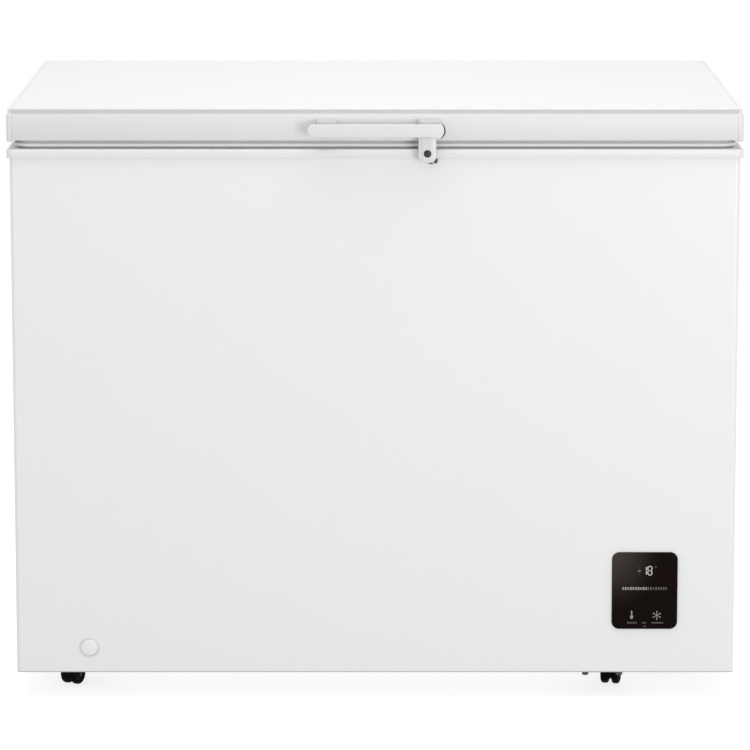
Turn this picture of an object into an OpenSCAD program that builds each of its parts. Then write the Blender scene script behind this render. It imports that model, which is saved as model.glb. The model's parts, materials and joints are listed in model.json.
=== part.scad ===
// Chest freezer with a top lid, spring-balanced hinges, a hanging basket and
// swivel casters. Millimetres, +Z up, front towards -Y, origin on the floor
// under the middle of the whole outline.

/* [Cabinet] */
// Width of the cabinet's sheet metal
cabinet_w = 1020; // [900:5:1230]
// Depth of the cabinet's sheet metal
cabinet_d = 640; // [560:5:770]
// Height of the cabinet's sheet metal
cabinet_h = 736; // [660:4:890]
// Height of the sheet metal's lower edge above the floor
ground_gap = 40; // [39:1:60]
// Radius of the cabinet's upright corners
corner_r = 6; // [4:0.5:10]
// Thickness of the sheet metal
sheet_t = 0.8; // [0.6:0.1:1.2]
// Thickness of the insulated side, front and back walls
wall_t = 70; // [60:1:90]
// Thickness of the insulated floor
floor_t = 70; // [60:1:90]
// Thickness of the liner
liner_t = 1; // [0.8:0.1:1.5]
// Radius of the liner's upright corners
liner_r = 14; // [12:1:24]
// Width of the raised step over the compressor
step_w = 195; // [190:5:240]
// Height of the step above the liner's floor
step_h = 235; // [228:5:280]
// Thickness of the insulation between the step and the compressor
step_wall = 60; // [50:1:60]

/* [Collar and lid] */
// Height of the plastic collar on top of the walls
collar_h = 13; // [11:0.5:18]
// How far the collar stands out past the sheet metal
collar_over = 4.5; // [3:0.5:8]
// Width of the ledge that the basket hangs on
ledge_w = 24; // [20:1:28]
// How far the ledge lies below the collar's top
ledge_drop = 8; // [7.5:0.5:10]
// Height of the gap that the gasket fills
seal_gap = 12.4; // [12:0.2:14]
// Height of the lid's edge
lid_h = 45.6; // [40:0.2:70]
// How far the lid stands out past the sheet metal at the sides
lid_over = 3.5; // [2:0.5:6]
// How far the lid stands out past the sheet metal at the front and back
lid_over_y = 5; // [4:0.5:6]
// Height of the set-back band along the lid's top edge
band_h = 8.5; // [6:0.5:10]
// Depth of that band
band_in = 1.7; // [1:0.1:2.5]
// Width of the lid's plastic end caps
cap_w = 7.3; // [6:0.1:10]
// How far the end caps hang below the lid's metal edge
cap_drop = 2; // [1:0.5:3]
// Width of the gasket
gasket_w = 22; // [18:1:26]
// Distance from the collar's outer edge to the gasket
gasket_in = 9; // [8:0.5:14]

/* [Handle and lock] */
// How far the handle reaches past the lid, and the hinges past its back
reach = 30; // [30:1:40]
// Length of the handle's bar
handle_l = 190; // [160:1:260]
// Height of the handle's bar
handle_h = 18.4; // [16:0.2:24]
// Width of the lock's flap
flap_w = 25; // [24:0.5:30]
// How far the flap hangs below the lid's edge
flap_drop = 29.4; // [28:0.2:31]
// Radius of the lock's barrel
barrel_r = 5.24; // [5:0.02:5.8]

/* [Hinges] */
// Distance of each hinge from the middle of the lid
hinge_x = 330; // [200:5:380]
// Radius of the hinge pin
pin_r = 4; // [3.5:0.1:4.5]
// Distance of the pin behind the cabinet's sheet metal
pin_back = 18; // [18:0.5:19]
// Opening angle of the lid in degrees
lid_open = 78; // [60:1:80]
// Lift of the plunger for each radian that the lid opens
cam_rate = 5; // [3:0.1:5]
// Distance from the pin to the plunger with the lid shut
cam_h = 14; // [13.5:0.1:15]
// Number of turns in each hinge spring
spring_turns = 10; // [7:1:12]

/* [Basket] */
// Width of the basket, side to side
basket_w = 200; // [160:5:260]
// Depth of the basket's wire body
basket_h = 205; // [150:5:240]
// Thickness of the rim wire
rim_d = 5; // [4:0.2:5]
// Thickness of the wall wires
wire_d = 3; // [2.4:0.1:3.4]
// Number of wires along each long side
long_wires = 15; // [9:1:19]
// Number of wires along each short side
short_wires = 7; // [5:1:9]

/* [Control panel and drain] */
// Width of the control panel
panel_w = 93.3; // [80:0.1:100]
// Height of the control panel
panel_h = 111.6; // [90:0.1:120]
// Corner radius of the control panel
panel_r = 10.8; // [6:0.1:14]
// Distance from the cabinet's right edge to the panel's middle
panel_side = 127.2; // [115:0.1:140]
// Height of the panel's middle above the sheet metal's lower edge
panel_up = 118; // [100:1:130]
// Distance from the cabinet's left edge to the drain's middle
drain_side = 103.8; // [95:0.1:120]
// Height of the drain above the sheet metal's lower edge
drain_up = 35.2; // [32:0.1:37]
// Radius of the drain spout
drain_r = 12; // [10:0.1:14]
// How far the drain spout pulls out
drain_pull = 25; // [15:1:28]

/* [Casters] */
// Radius of the caster wheels
wheel_r = 15; // [12:0.5:15.5]
// Width of each of a caster's two wheels
wheel_w = 10.5; // [8:0.5:12]
// Distance of each wheel's axle behind its swivel
trail = 9; // [6:0.5:10]
// Distance of the casters' swivels from the front and back of the cabinet
caster_in = 80; // [70:1:110]
// Distance of the left casters' swivels from the left side
caster_left = 69; // [60:1:120]
// Distance of the right casters' swivels from the right side
caster_right = 171; // [100:1:200]

/* [Hidden] */

// Clearances
gap = 0.2;          // between pieces that are fixed to each other
seam = 0.16;         // between boards and between welded lengths
free_gap = 0.3;     // between pieces that move past each other
running = 0.06;     // around a shaft in its hole
eps = 0.01;

// Levels
cab_x = cabinet_w / 2;
cab_y = cabinet_d / 2;
cab_z0 = ground_gap;
cab_z1 = ground_gap + cabinet_h;
collar_z = cab_z1 + collar_h;
ledge_z = collar_z - ledge_drop;
lid_z0 = collar_z + seal_gap;
lid_z1 = lid_z0 + lid_h;
lid_x = cab_x + lid_over;
lid_y = cab_y + lid_over_y;
in_x = cab_x - wall_t;
in_y = cab_y - wall_t;
floor_z = cab_z0 + floor_t;
step_x = in_x - step_w;
step_z = floor_z + step_h;

// Compressor compartment
bay_x = step_x + step_wall;
bay_z = step_z - step_wall;
pan_t = 1.2;
pan_z = cab_z0 + sheet_t + gap;

// Collar
collar_t = 2.5;
collar_x = cab_x + collar_over;
collar_y = cab_y + collar_over;
lip_drop = 11;
lip_in = collar_t + gap;

// Gasket
gasket_x = collar_x - gasket_in;
gasket_y = collar_y - gasket_in;

// Lid
lid_t = 1;
lid_fold = 12;
lid_liner_t = 1.2;
lid_base = lid_z0 + lid_t + gap;
plug_z = collar_z + 1;
plug_x = in_x - 15;
plug_y = in_y - 15;
plug_r = 25;

// Hinge
pin_y = cab_y + pin_back;
pin_z = lid_z0 - 4.4;
bracket_t = 2;
bracket_h = 150;
web_top = pin_z - cab_z1 + gap;
ear_x = 12;
ear_t = 3;
cheek_x = 17;
cheek_r = 9;
plunger_top = 8;
seat_z = 118;
spring_r = 7;
spring_wire = 1.3;

// Handle, measured from the lid
bar_t = 12;
bar_z = lid_z0 + 17.9;
knob_r = 13.8;
knob_z = bar_z + 1.5;
foot_w = 29.5;
foot_h = 22.5;
front_y = -(lid_y + reach);
bar_x0 = -handle_l / 2 + 1;
bar_x1 = handle_l / 2 + 1;
flap_x = bar_x1 - knob_r - 9.3;
flap_z0 = lid_z0 - flap_drop;
flap_y0 = -(lid_y + 18);
flap_y1 = -(lid_y + 4.8);
lock_x = flap_x;
lock_z = flap_z0 + 13;
cam_t = 2;
cam_l = 10.5;
cam_w = 7;

// Drain
drain_x = -cab_x + drain_side;
drain_z = cab_z0 + drain_up;
drain_hole_y = -in_y + 35;
drain_hole_r = 9;
sleeve_t = 1.6;
sleeve_l = 32;

// Control panel
panel_x = cab_x - panel_side;
panel_z = cab_z0 + panel_up;

// Casters
plate_t = 3;
plate_z = 2 * wheel_r + 3;
rail_z = plate_z + plate_t;
stem_r = 4;
axle_r = 2.5;
wheel_gap = 5.3;
wheel_x = (wheel_gap + wheel_w) / 2;
// [x, y, swivel angle at rest, turn of the plate]
casters = [
    [-cab_x + caster_left, -cab_y + caster_in, -28, 180],
    [cab_x - caster_right, -cab_y + caster_in, -14, 0],
    [-cab_x + caster_left, cab_y - caster_in, 205, 0],
    [cab_x - caster_right, cab_y - caster_in, 150, 180]
];
plate_bolts = [[-38, -52], [10.6, -52], [-38, 14]];

// Compressor
comp_x = (bay_x + cab_x) / 2 + 2;
comp_y = cab_y - 150;
comp_r = 70;
comp_foot_z = pan_z + pan_t + 12;
comp_h = 150;
comp_feet = [for (i = [-1, 1], j = [-1, 1]) [i * 52, j * 70]];

// Basket, which hangs at the right-hand end
basket_x = in_x - 15 - basket_w / 2;
basket_y = in_y - 18;
rim_z = ledge_z - 16;
basket_z0 = rim_z - basket_h;
basket_r = 16;
hanger_x = basket_w / 2 - 40;
hanger_y = in_y + 12;
hanger_z = ledge_z + free_gap + rim_d / 2;

// Grilles
grille_y = comp_y;
grille_w = 180;
grille_z = (pan_z + bay_z) / 2;
grille_h = 150;
gland_z = bay_z - 20;
rear_w = cab_x - bay_x - 40;
rear_x = (bay_x + cab_x) / 2;

white = [0.95, 0.95, 0.95];
soft_white = [0.92, 0.92, 0.92];
dark = [0.1, 0.1, 0.11];
steel = [0.7, 0.71, 0.73];
copper = [0.72, 0.45, 0.3];

// A rectangle with true round corners
module rrect(w, d, r) {
    square([w - 2 * r, d], center = true);
    square([w, d - 2 * r], center = true);
    for (i = [-1, 1], j = [-1, 1])
        translate([i * (w / 2 - r), j * (d / 2 - r)]) circle(r, $fn = 48);
}

// A rectangular frame, w and d outside, t wide
module ring(w, d, r, t) {
    difference() {
        rrect(w, d, r);
        rrect(w - 2 * t, d - 2 * t, max(r - t, 1));
    }
}

module slab(z0, z1) translate([0, 0, z0]) linear_extrude(z1 - z0) children();

// A profile drawn in x and z, from y0 back to y1
module along_y(y0, y1)
    translate([0, y1, 0]) rotate([90, 0, 0]) linear_extrude(y1 - y0) children();

// A profile drawn in y and z, from x0 to x1
module along_x(x0, x1)
    translate([x0, 0, 0]) rotate([90, 0, 90]) linear_extrude(x1 - x0) children();

module box(lo, hi) translate(lo) cube(hi - lo);

module mirrored_x() {
    children();
    mirror([1, 0, 0]) children();
}

function unit(v) = v / norm(v);

// An arc of n steps and radius r in the corner at b of the route a, b, c
function bend(a, b, c, r, n) =
    let (u = unit(a - b), v = unit(c - b), half = acos(u * v) / 2,
         centre = b + unit(u + v) * r / sin(half),
         p = b + u * r / tan(half) - centre, q = b + v * r / tan(half) - centre,
         w = 180 - 2 * half)
    [for (i = [0:n]) centre + (sin((1 - i / n) * w) * p + sin(i / n * w) * q) / sin(w)];

function rounded(route, r, n) =
    [route[0], for (i = [1:len(route) - 2]) each bend(route[i - 1], route[i], route[i + 1], r, n),
     route[len(route) - 1]];

function heading(path, i) = unit(path[min(i + 1, len(path) - 1)] - path[max(i - 1, 0)]);

// A side direction at each point of the path, carried along without twist
function sides_of(path, first) =
    [for (i = 0, s = first; i < len(path);
          s = let (t = heading(path, min(i + 1, len(path) - 1))) unit(s - (s * t) * t),
          i = i + 1) s];

// A round bar of radius r along a path
module bar(path, r, n = 8) {
    t0 = heading(path, 0);
    pick = abs(t0[2]) < 0.8 ? [0, 0, 1] : [1, 0, 0];
    s = sides_of(path, unit(pick - (pick * t0) * t0));
    rings = len(path);
    points = [for (i = [0:rings - 1]) let (b = cross(heading(path, i), s[i]))
                  for (k = [0:n - 1]) path[i] + r * (cos(360 * k / n) * s[i] + sin(360 * k / n) * b)];
    faces = [
        [for (k = [0:n - 1]) k],
        [for (k = [0:n - 1]) (rings - 1) * n + n - 1 - k],
        for (i = [0:rings - 2], k = [0:n - 1]) let (a = i * n + k, b = i * n + (k + 1) % n)
            each [[a, a + n, b + n], [a, b + n, b]]
    ];
    polyhedron(points, faces, convexity = 6);
}

// ---------------------------------------------------------------- cabinet

module drain_hole(r) translate([drain_x, 0, drain_z]) rotate([90, 0, 0])
    cylinder(r = r, h = cab_y + 1, $fn = 48);

module panel_window(clear) translate([panel_x, panel_z])
    rrect(panel_w - 10 + 2 * clear, panel_h - 10 + 2 * clear, panel_r - 4);

module outer_wrap() color(white) difference() {
    union() {
        slab(cab_z0, cab_z1) difference() {
            ring(cabinet_w, cabinet_d, corner_r, sheet_t);
            translate([-cab_x + 20, cab_y - 2 * corner_r]) square([cabinet_w - 40, 3 * corner_r]);
        }
        slab(cab_z0, cab_z0 + sheet_t) ring(cabinet_w, cabinet_d, corner_r, 18);
    }
    drain_hole(drain_r + sleeve_t + gap);
    along_y(-cab_y - 1, -cab_y + 2) panel_window(gap);
    along_x(cab_x - 2, cab_x + 1) translate([grille_y, grille_z])
        square([grille_w - 16, grille_h - 16], center = true);
}

module rear_window(clear) translate([rear_x, grille_z])
    square([rear_w - 16 + 2 * clear, grille_h - 16 + 2 * clear], center = true);

// The back sheet, with pressed stiffening ribs that stand out to the rear
module back_panel() color(steel) {
    y1 = cab_y - sheet_t - gap;
    w = cabinet_w - 2 * corner_r - 2 * gap;
    rib_d = 5;
    rib_w = 34;
    ribs = [for (i = [-2:2]) i * cabinet_w / 5.6];
    difference() {
        union() {
            along_y(y1 - sheet_t, y1) translate([-w / 2, pan_z + pan_t])
                square([w, cab_z1 - pan_z - pan_t]);
            for (x = ribs) translate([x, 0]) along_y(y1 - sheet_t, y1 + rib_d)
                translate([-rib_w / 2, bay_z + 30]) square([rib_w, cab_z1 - bay_z - 190]);
        }
        for (x = ribs) translate([x, 0]) along_y(y1 - 1, y1 + rib_d - sheet_t)
            translate([-rib_w / 2 + sheet_t, bay_z + 30 + sheet_t])
                square([rib_w - 2 * sheet_t, cab_z1 - bay_z - 190 - 2 * sheet_t]);
        along_y(y1 - 2, y1 + 2) rear_window(0);
        along_y(y1 - 2, y1 + 2) translate([bay_x + 60, gland_z]) circle(6 + gap, $fn = 48);
    }
}

// The floor sheet, with air slots under the compressor
module base_pan() color(steel) difference() {
    slab(pan_z, pan_z + pan_t)
        rrect(cabinet_w - 2 * sheet_t - 2 * gap, cabinet_d - 2 * sheet_t - 2 * gap, corner_r - sheet_t);
    for (i = [0:7]) translate([comp_x, -comp_r - 20 - 14 * i, pan_z - 1])
        linear_extrude(pan_t + 2) rrect(120, 6, 2.9);
}

// Two folded rails across the bottom, which carry the casters
module base_rails() color(steel) for (s = [-1, 1]) difference() {
    along_x(-cab_x + 30, cab_x - 30) translate([s * (cab_y - 58), 0]) difference() {
        translate([-40, rail_z]) square([80, pan_z - gap - rail_z]);
        translate([-38, rail_z + 2]) square([76, pan_z]);
    }
    for (c = casters) translate([c[0], c[1], 0]) {
        cylinder(r = stem_r + 3, h = cab_z1, $fn = 32);
        for (b = plate_bolts) rotate([0, 0, c[3]]) translate([b[0], b[1], 0])
            cylinder(r = 3.2, h = cab_z1, $fn = 32);
    }
}

// Liner and insulation share the cavity's two outlines
module cavity(grow, top) {
    slab(step_z - grow, top) rrect(2 * (in_x + grow), 2 * (in_y + grow), liner_r + grow);
    slab(floor_z - grow, top) translate([(step_x - in_x) / 2, 0])
        rrect(step_x + in_x + 2 * grow, 2 * (in_y + grow), liner_r + grow);
}

liner_top = ledge_z - collar_t - gap;

module inner_liner() color(soft_white) difference() {
    union() {
        cavity(liner_t, liner_top);
        slab(liner_top - liner_t, liner_top) rrect(2 * (in_x + 18), 2 * (in_y + 18), liner_r + 18);
    }
    cavity(0, liner_top + 1);
    translate([drain_x, drain_hole_y, 0]) cylinder(r = drain_hole_r, h = floor_z + 1, $fn = 48);
}

tube_r = 3;
tube_cut = 2 * tube_r + 2 * gap;
outer_x = cab_x - sheet_t - 2 * gap - tube_r;
outer_y = cab_y - 2 * sheet_t - 3 * gap - tube_r;
inner_levels = [for (i = [0:4]) step_z + 60 + i * (liner_top - step_z - 120) / 4];
outer_levels = [for (i = [0:3]) bay_z + 90 + i * (liner_top - bay_z - 170) / 3];

// A tube in level loops, each joined to the next by a short rise at the back
function coil_route(x, y, levels) = [
    for (i = [0:len(levels) - 1]) let (z = levels[i], s = i % 2 == 0 ? 1 : -1)
        each [[s * 20, y, z], [s * x, y, z], [s * x, -y, z],
              [-s * x, -y, z], [-s * x, y, z], [-s * 20, y, z]]
];

module evaporator_coil() color(copper) {
    lead = 4 * tube_r;
    x = in_x + liner_t + gap + tube_r;
    y = in_y + liner_t + gap + tube_r;
    bar(rounded(coil_route(x, y, inner_levels), 6 * tube_r - lead / 2, 4), tube_r, 6);
}

module condenser_coil() color(copper)
    bar(rounded(coil_route(outer_x, outer_y, outer_levels), 4 * tube_r, 4), tube_r, 6);

// Blown foam, modelled as nine flat boards that meet at fine seams behind the liner
module foam_insulation() color([0.93, 0.86, 0.66]) {
    foam_x = cab_x - sheet_t - gap;
    foam_y = cab_y - sheet_t - gap;
    back = sheet_t + gap;
    wall_x = in_x + liner_t + gap;
    wall_y = in_y + liner_t + gap;
    low = floor_z - liner_t - gap;
    difference() {
        union() {
            slab(pan_z + pan_t + gap, liner_top - liner_t - gap) translate([0, -back / 2])
                rrect(2 * foam_x, 2 * foam_y - back, corner_r - sheet_t);
            slab(liner_top - liner_t - 1, collar_z - collar_t - gap) translate([0, -back / 2])
                difference() {
                    rrect(2 * foam_x, 2 * foam_y - back, corner_r - sheet_t);
                    square([2 * (in_x + ledge_w + collar_t + gap), 2 * (in_y + ledge_w + collar_t + gap) + back],
                           center = true);
                }
        }
        box([-wall_x, -wall_y, step_z - liner_t - gap], [wall_x, wall_y, cab_z1 + collar_h + 1]);
        box([-wall_x, -wall_y, low], [step_x + liner_t + gap, wall_y, cab_z1 + collar_h + 1]);
        box([bay_x, -cab_y - 1, 0], [cab_x + 1, cab_y + 1, bay_z]);
        for (z = inner_levels) slab(z - tube_cut / 2, z + tube_cut / 2)
            square(2 * [wall_x + tube_cut, wall_y + tube_cut], center = true);
        box([-30, in_y, inner_levels[0]], [30, wall_y + tube_cut, inner_levels[4]]);
        for (z = outer_levels) slab(z - tube_cut / 2, z + tube_cut / 2) difference() {
            square(2 * [cab_x, cab_y], center = true);
            rrect(2 * (outer_x - tube_r - gap), 2 * (outer_y - tube_r - gap), 3 * tube_r - gap);
        }
        box([-30, foam_y - back - tube_cut, outer_levels[0]], [30, cab_y, outer_levels[3]]);
        // the drain's way from the liner's floor to the front
        translate([drain_x, drain_hole_y, drain_z - drain_hole_r - 2 - gap])
            cylinder(r = drain_hole_r + 2 + gap, h = floor_z, $fn = 48);
        drain_channel(drain_hole_r + 2 + gap);
        translate([drain_x, -cab_y, drain_z]) rotate([-90, 0, 0])
            cylinder(r = drain_r + sleeve_t + gap, h = sleeve_l + gap, $fn = 48);
        // seams: end walls, front and back walls, the step's riser and the board over the compartment
        for (s = [-1, 1]) {
            box([s * wall_x - seam / 2, -cab_y, 0], [s * wall_x + seam / 2, cab_y, collar_z]);
            box([-wall_x, s * wall_y - seam / 2, 0], [wall_x, s * wall_y + seam / 2, collar_z]);
        }
        box([-wall_x, -cab_y, bay_z], [bay_x + seam, cab_y, bay_z + seam]);
        box([step_x, -wall_y, low], [bay_x, wall_y, low + seam]);
    }
}

module drain_channel(r) translate([drain_x, -cab_y, drain_z]) rotate([-90, 0, 0])
    cylinder(r = r, h = cab_y + drain_hole_y, $fn = 48);

module drain_tube() color(soft_white) {
    r = drain_hole_r - 0.5;
    difference() {
        union() {
            translate([drain_x, -cab_y + sleeve_l + gap, drain_z]) rotate([-90, 0, 0])
                cylinder(r = r + 2, h = cab_y + drain_hole_y - sleeve_l - gap, $fn = 48);
            translate([drain_x, drain_hole_y, drain_z]) sphere(r + 2, $fn = 48);
            translate([drain_x, drain_hole_y, drain_z])
                cylinder(r = r + 2, h = floor_z - liner_t - gap - drain_z, $fn = 48);
        }
        drain_channel(r);
        translate([drain_x, drain_hole_y, drain_z]) cylinder(r = r, h = floor_z, $fn = 48);
        translate([drain_x, drain_hole_y, drain_z]) sphere(r, $fn = 48);
    }
}

module drain_bezel() color(soft_white) translate([drain_x, -cab_y, drain_z]) rotate([-90, 0, 0])
    rotate_extrude($fn = 72) difference() {
        union() {
            translate([drain_r + running, -1.6]) square([2.3, 1.6]);
            translate([drain_r + running, -1.6]) square([sleeve_t - running, sleeve_l + 1.6]);
        }
        translate([drain_r + running + 2.3, -1.6]) rotate(45) square(0.9, center = true);
    }

// The front end pulls forward, to pour into a tray
module drain_spout() color(white) translate([drain_x, -cab_y, drain_z]) rotate([-90, 0, 0])
    rotate_extrude($fn = 72) difference() {
        union() {
            translate([0, -2.2]) square([drain_r - 0.4, sleeve_l + 1]);
            translate([0, -1.8]) square([drain_r, sleeve_l + 0.6]);
        }
        translate([0, 2]) square([drain_r - 2, sleeve_l + 8]);
    }

module drain_plug() color(soft_white) translate([drain_x, drain_hole_y, floor_z]) {
    translate([0, 0, -liner_t - 4]) cylinder(r = drain_hole_r - 0.6, h = liner_t + 4.5, $fn = 48);
    translate([0, 0, free_gap]) cylinder(r = drain_hole_r + 5, h = 2.2, $fn = 48);
    translate([0, 0, free_gap + 2]) intersection() {
        cylinder(r = 6, h = 9, $fn = 32);
        cube([12, 4, 24], center = true);
    }
}

// The collar: round-nosed skirt, flat for the gasket, ledge for the basket, lip into the liner.
// Four lengths of one profile, mitred and welded at the corners.
module collar_frame() color(soft_white) difference() {
    collar_ring();
    for (sx = [-1, 1], sy = [-1, 1]) translate([sx * (collar_x - collar_y), 0, 0])
        rotate([0, 0, sx * sy * 45]) translate([sx * collar_y, 0, collar_z - 10])
            cube([3 * collar_y, seam, 60], center = true);
}

module collar_ring() {
    nose = 3.6;
    steps = [for (a = [0:30:90]) [nose * (1 - sin(a)), nose * (1 - cos(a))]];
    difference() {
        hull() {
            for (s = steps) {
                slab(cab_z1 + s[1], collar_z - s[1])
                    offset(r = corner_r + collar_over, $fn = 40)
                        square([2 * (collar_x - corner_r - collar_over - s[0]),
                                2 * (collar_y - corner_r - collar_over - s[0])], center = true);
            }
        }
        // the slot that the sheet metal and the foam fill from below
        slab(cab_z1 - 1, collar_z - collar_t) difference() {
            rrect(cabinet_w + 2 * gap, cabinet_d + 2 * gap, corner_r + gap);
            square([2 * (in_x + ledge_w + collar_t), 2 * (in_y + ledge_w + collar_t)], center = true);
        }
        slab(cab_z1 - 1, ledge_z - collar_t) square([2 * (in_x + ledge_w + collar_t) + 1,
                                                    2 * (in_y + ledge_w + collar_t) + 1], center = true);
        slab(ledge_z, collar_z + 1) rrect(2 * (in_x + ledge_w), 2 * (in_y + ledge_w), liner_r);
        slab(cab_z1 - 1, collar_z + 1) rrect(2 * (in_x - lip_in), 2 * (in_y - lip_in), liner_r - lip_in);
    }
    slab(ledge_z - lip_drop, ledge_z - collar_t / 2) ring(2 * (in_x - gap), 2 * (in_y - gap), liner_r - gap, collar_t);
}

// ------------------------------------------------- compressor compartment

module compressor() color(dark) translate([comp_x, comp_y, comp_foot_z]) {
    difference() {
        union() {
            // pressed steel shell in two halves, joined at a rim
            rotate_extrude($fn = 96) intersection() {
                union() {
                    translate([comp_r - 34, 40]) circle(34, $fn = 64);
                    translate([0, 6]) square([comp_r - 34, 68]);
                    translate([comp_r - 40, comp_h - 40]) circle(40, $fn = 64);
                    translate([0, comp_h - 60]) square([comp_r - 40, 60]);
                    translate([0, 40]) square([comp_r, comp_h - 80]);
                    translate([0, 66]) square([comp_r + 5, 3]);
                }
                translate([0, 0]) square([comp_r + 10, comp_h]);
            }
            slab(0, 3) rrect(128, 164, 12);
            slab(0, 14) rrect(60, 60, 10);
        }
        for (f = comp_feet) translate([f[0], f[1], -1]) cylinder(r = 7, h = 5, $fn = 32);
    }
}

module compressor_grommets() color([0.15, 0.15, 0.15])
    for (f = comp_feet) translate([comp_x + f[0], comp_y + f[1], pan_z + pan_t]) rotate_extrude($fn = 40)
        difference() {
            union() {
                translate([0, gap]) square([11, 12 - 2 * gap]);
                square([6.7, 17]);
                translate([0, 12 + 3 + gap]) square([10, 3]);
            }
            translate([-1, -1]) square([4.2, 24]);
        }

module starter_box() color([0.2, 0.2, 0.22])
    translate([comp_x, comp_y - comp_r - 5 - gap, comp_foot_z + 96]) {
        box([-26, -30, -30], [26, 0, 22]);
        box([-20, -33, -24], [20, -29, 16]);
    }

module refrigerant_pipes() color(copper) {
    top = comp_foot_z + comp_h;
    // suction line, from the insulated wall to the shell's top
    bar(rounded([[bay_x + free_gap, comp_y - 40, bay_z - 30], [bay_x + 24, comp_y - 40, bay_z - 30],
                 [comp_x - 20, comp_y - 40, bay_z - 12], [comp_x - 20, comp_y, bay_z - 12],
                 [comp_x - 20, comp_y, top + gap]], 10, 4), 3.2, 8);
    // discharge line, from the shell to the condenser inside the right-hand sheet
    bar(rounded([[comp_x + 24, comp_y, top + gap], [comp_x + 24, comp_y, bay_z - 16],
                 [comp_x + 24, comp_y - 90, bay_z - 16], [cab_x - 9, comp_y - 90, bay_z - 16],
                 [cab_x - 9, comp_y - 90, bay_z - free_gap]], 10, 4), 2.4, 8);
    // capillary line, from the dryer back into the insulation
    bar(rounded([[bay_x + 14, comp_y - 150, grille_z + 66], [bay_x + 14, comp_y - 150, bay_z - 40],
                 [bay_x + free_gap, comp_y - 150, bay_z - 40]], 8, 4), 1.4, 6);
}

module filter_dryer() color(copper) translate([bay_x + 14, comp_y - 150, grille_z - 60])
    rotate_extrude($fn = 48) {
        translate([0, 14]) square([9.5, 96]);
        translate([0, 14]) intersection() {
            circle(9.5, $fn = 48);
            translate([0, -9.5]) square([9.5, 9.6]);
        }
        translate([0, 110]) intersection() {
            circle(9.5, $fn = 48);
            translate([0, -0.1]) square([9.5, 9.6]);
        }
        square([3, 20]);
        translate([0, 112]) square([2, 13.8]);
    }

// A moulded grille: a frame and sloping louvres, drawn with its face towards +Z
module louvres(w, h, count) {
    lip = 8;
    difference() {
        union() {
            slab(0, 2) rrect(w, h, 6);
            slab(-9, 0.5) rrect(w - 2 * lip - 2 * gap, h - 2 * lip - 2 * gap, 3);
        }
        slab(-10, 3) rrect(w - 2 * lip - 5, h - 2 * lip - 5, 1.2);
    }
    pitch = (h - 2 * lip - 5) / count;
    for (i = [0:count - 1]) translate([0, -(h - 2 * lip - 5) / 2 + (i + 0.5) * pitch, -3.4])
        rotate([32, 0, 0]) cube([w - 2 * lip - 4, pitch * 0.96, 1.6], center = true);
    for (x = [-1, 0, 1]) translate([x * w / 5, 0, -6.6]) cube([2, h - 2 * lip - 4, 3], center = true);
}

module side_grille() color(white) translate([cab_x + gap, grille_y, grille_z])
    rotate([90, 0, 90]) louvres(grille_w, grille_h, 14);

module rear_grille() color([0.25, 0.25, 0.27])
    translate([rear_x, cab_y - sheet_t, grille_z]) rotate([90, 0, 180]) louvres(rear_w, grille_h, 14);

module cord_gland() color(dark) translate([bay_x + 60, cab_y - 2 * sheet_t - gap, gland_z])
    rotate([-90, 0, 0]) rotate_extrude($fn = 48) difference() {
        union() {
            translate([0, sheet_t + gap]) square([9, 4]);
            square([6, 6]);
        }
        translate([-1, -1]) square([4.4, 9]);
    }

// ---------------------------------------------------------- front fittings

module control_housing() color(dark) {
    along_y(-cab_y - 1.4, -cab_y - eps) translate([panel_x, panel_z]) rrect(panel_w, panel_h, panel_r);
    difference() {
        along_y(-cab_y - 1, -cab_y + 18) panel_window(-gap);
        along_y(-cab_y + 1, -cab_y + 16) translate([panel_x, panel_z])
            rrect(panel_w - 16, panel_h - 16, panel_r - 6);
        along_y(-cab_y + 15, -cab_y + 19) translate([panel_x, panel_z - 20]) square([24, 10], center = true);
    }
}

module control_glass() color([0.06, 0.05, 0.05]) {
    along_y(-cab_y - 3, -cab_y - 1.4 - gap) translate([panel_x, panel_z])
        rrect(panel_w - 1.2, panel_h - 1.2, panel_r - 0.6);
    along_y(-cab_y - 3.6, -cab_y - 2.9) translate([panel_x, panel_z])
        rrect(panel_w - 2.4, panel_h - 2.4, panel_r - 1.2);
}

// Screwed under the collar: a hook in front of it, and two prongs at the lower right
module lock_keeper() color(dark) {
    y_hook = -(lid_y + 4.8) + free_gap;
    y_plate = -(lid_y + 1.2);
    x0 = flap_x - flap_w / 2 + 1.2;
    x1 = flap_x + flap_w / 2;
    z0 = flap_z0 - 3.4;
    z1 = cab_z1 - gap;
    difference() {
        box([x0, y_plate, z0], [x1, -cab_y - eps, z1]);
        translate([x1, -cab_y, z0]) rotate([0, 45, 0]) cube([3, 30, 9], center = true);
        translate([flap_x, -cab_y, z0 + 3.6]) rotate([90, 0, 0]) cylinder(r = 1.8, h = 20, $fn = 32);
    }
    box([x0, y_plate, z0 + 1], [x0 + 5.5, -collar_y - gap, lock_z + cam_w / 2 + 7]);
    box([x0, y_hook, lock_z + cam_w / 2 + 1.2], [x0 + 5.5, -collar_y - gap, lock_z + cam_w / 2 + 7]);
}

// ---------------------------------------------------------------- hinges

module hinge_place() for (s = [-1, 1]) translate([s * hinge_x, pin_y, pin_z]) children();

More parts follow.
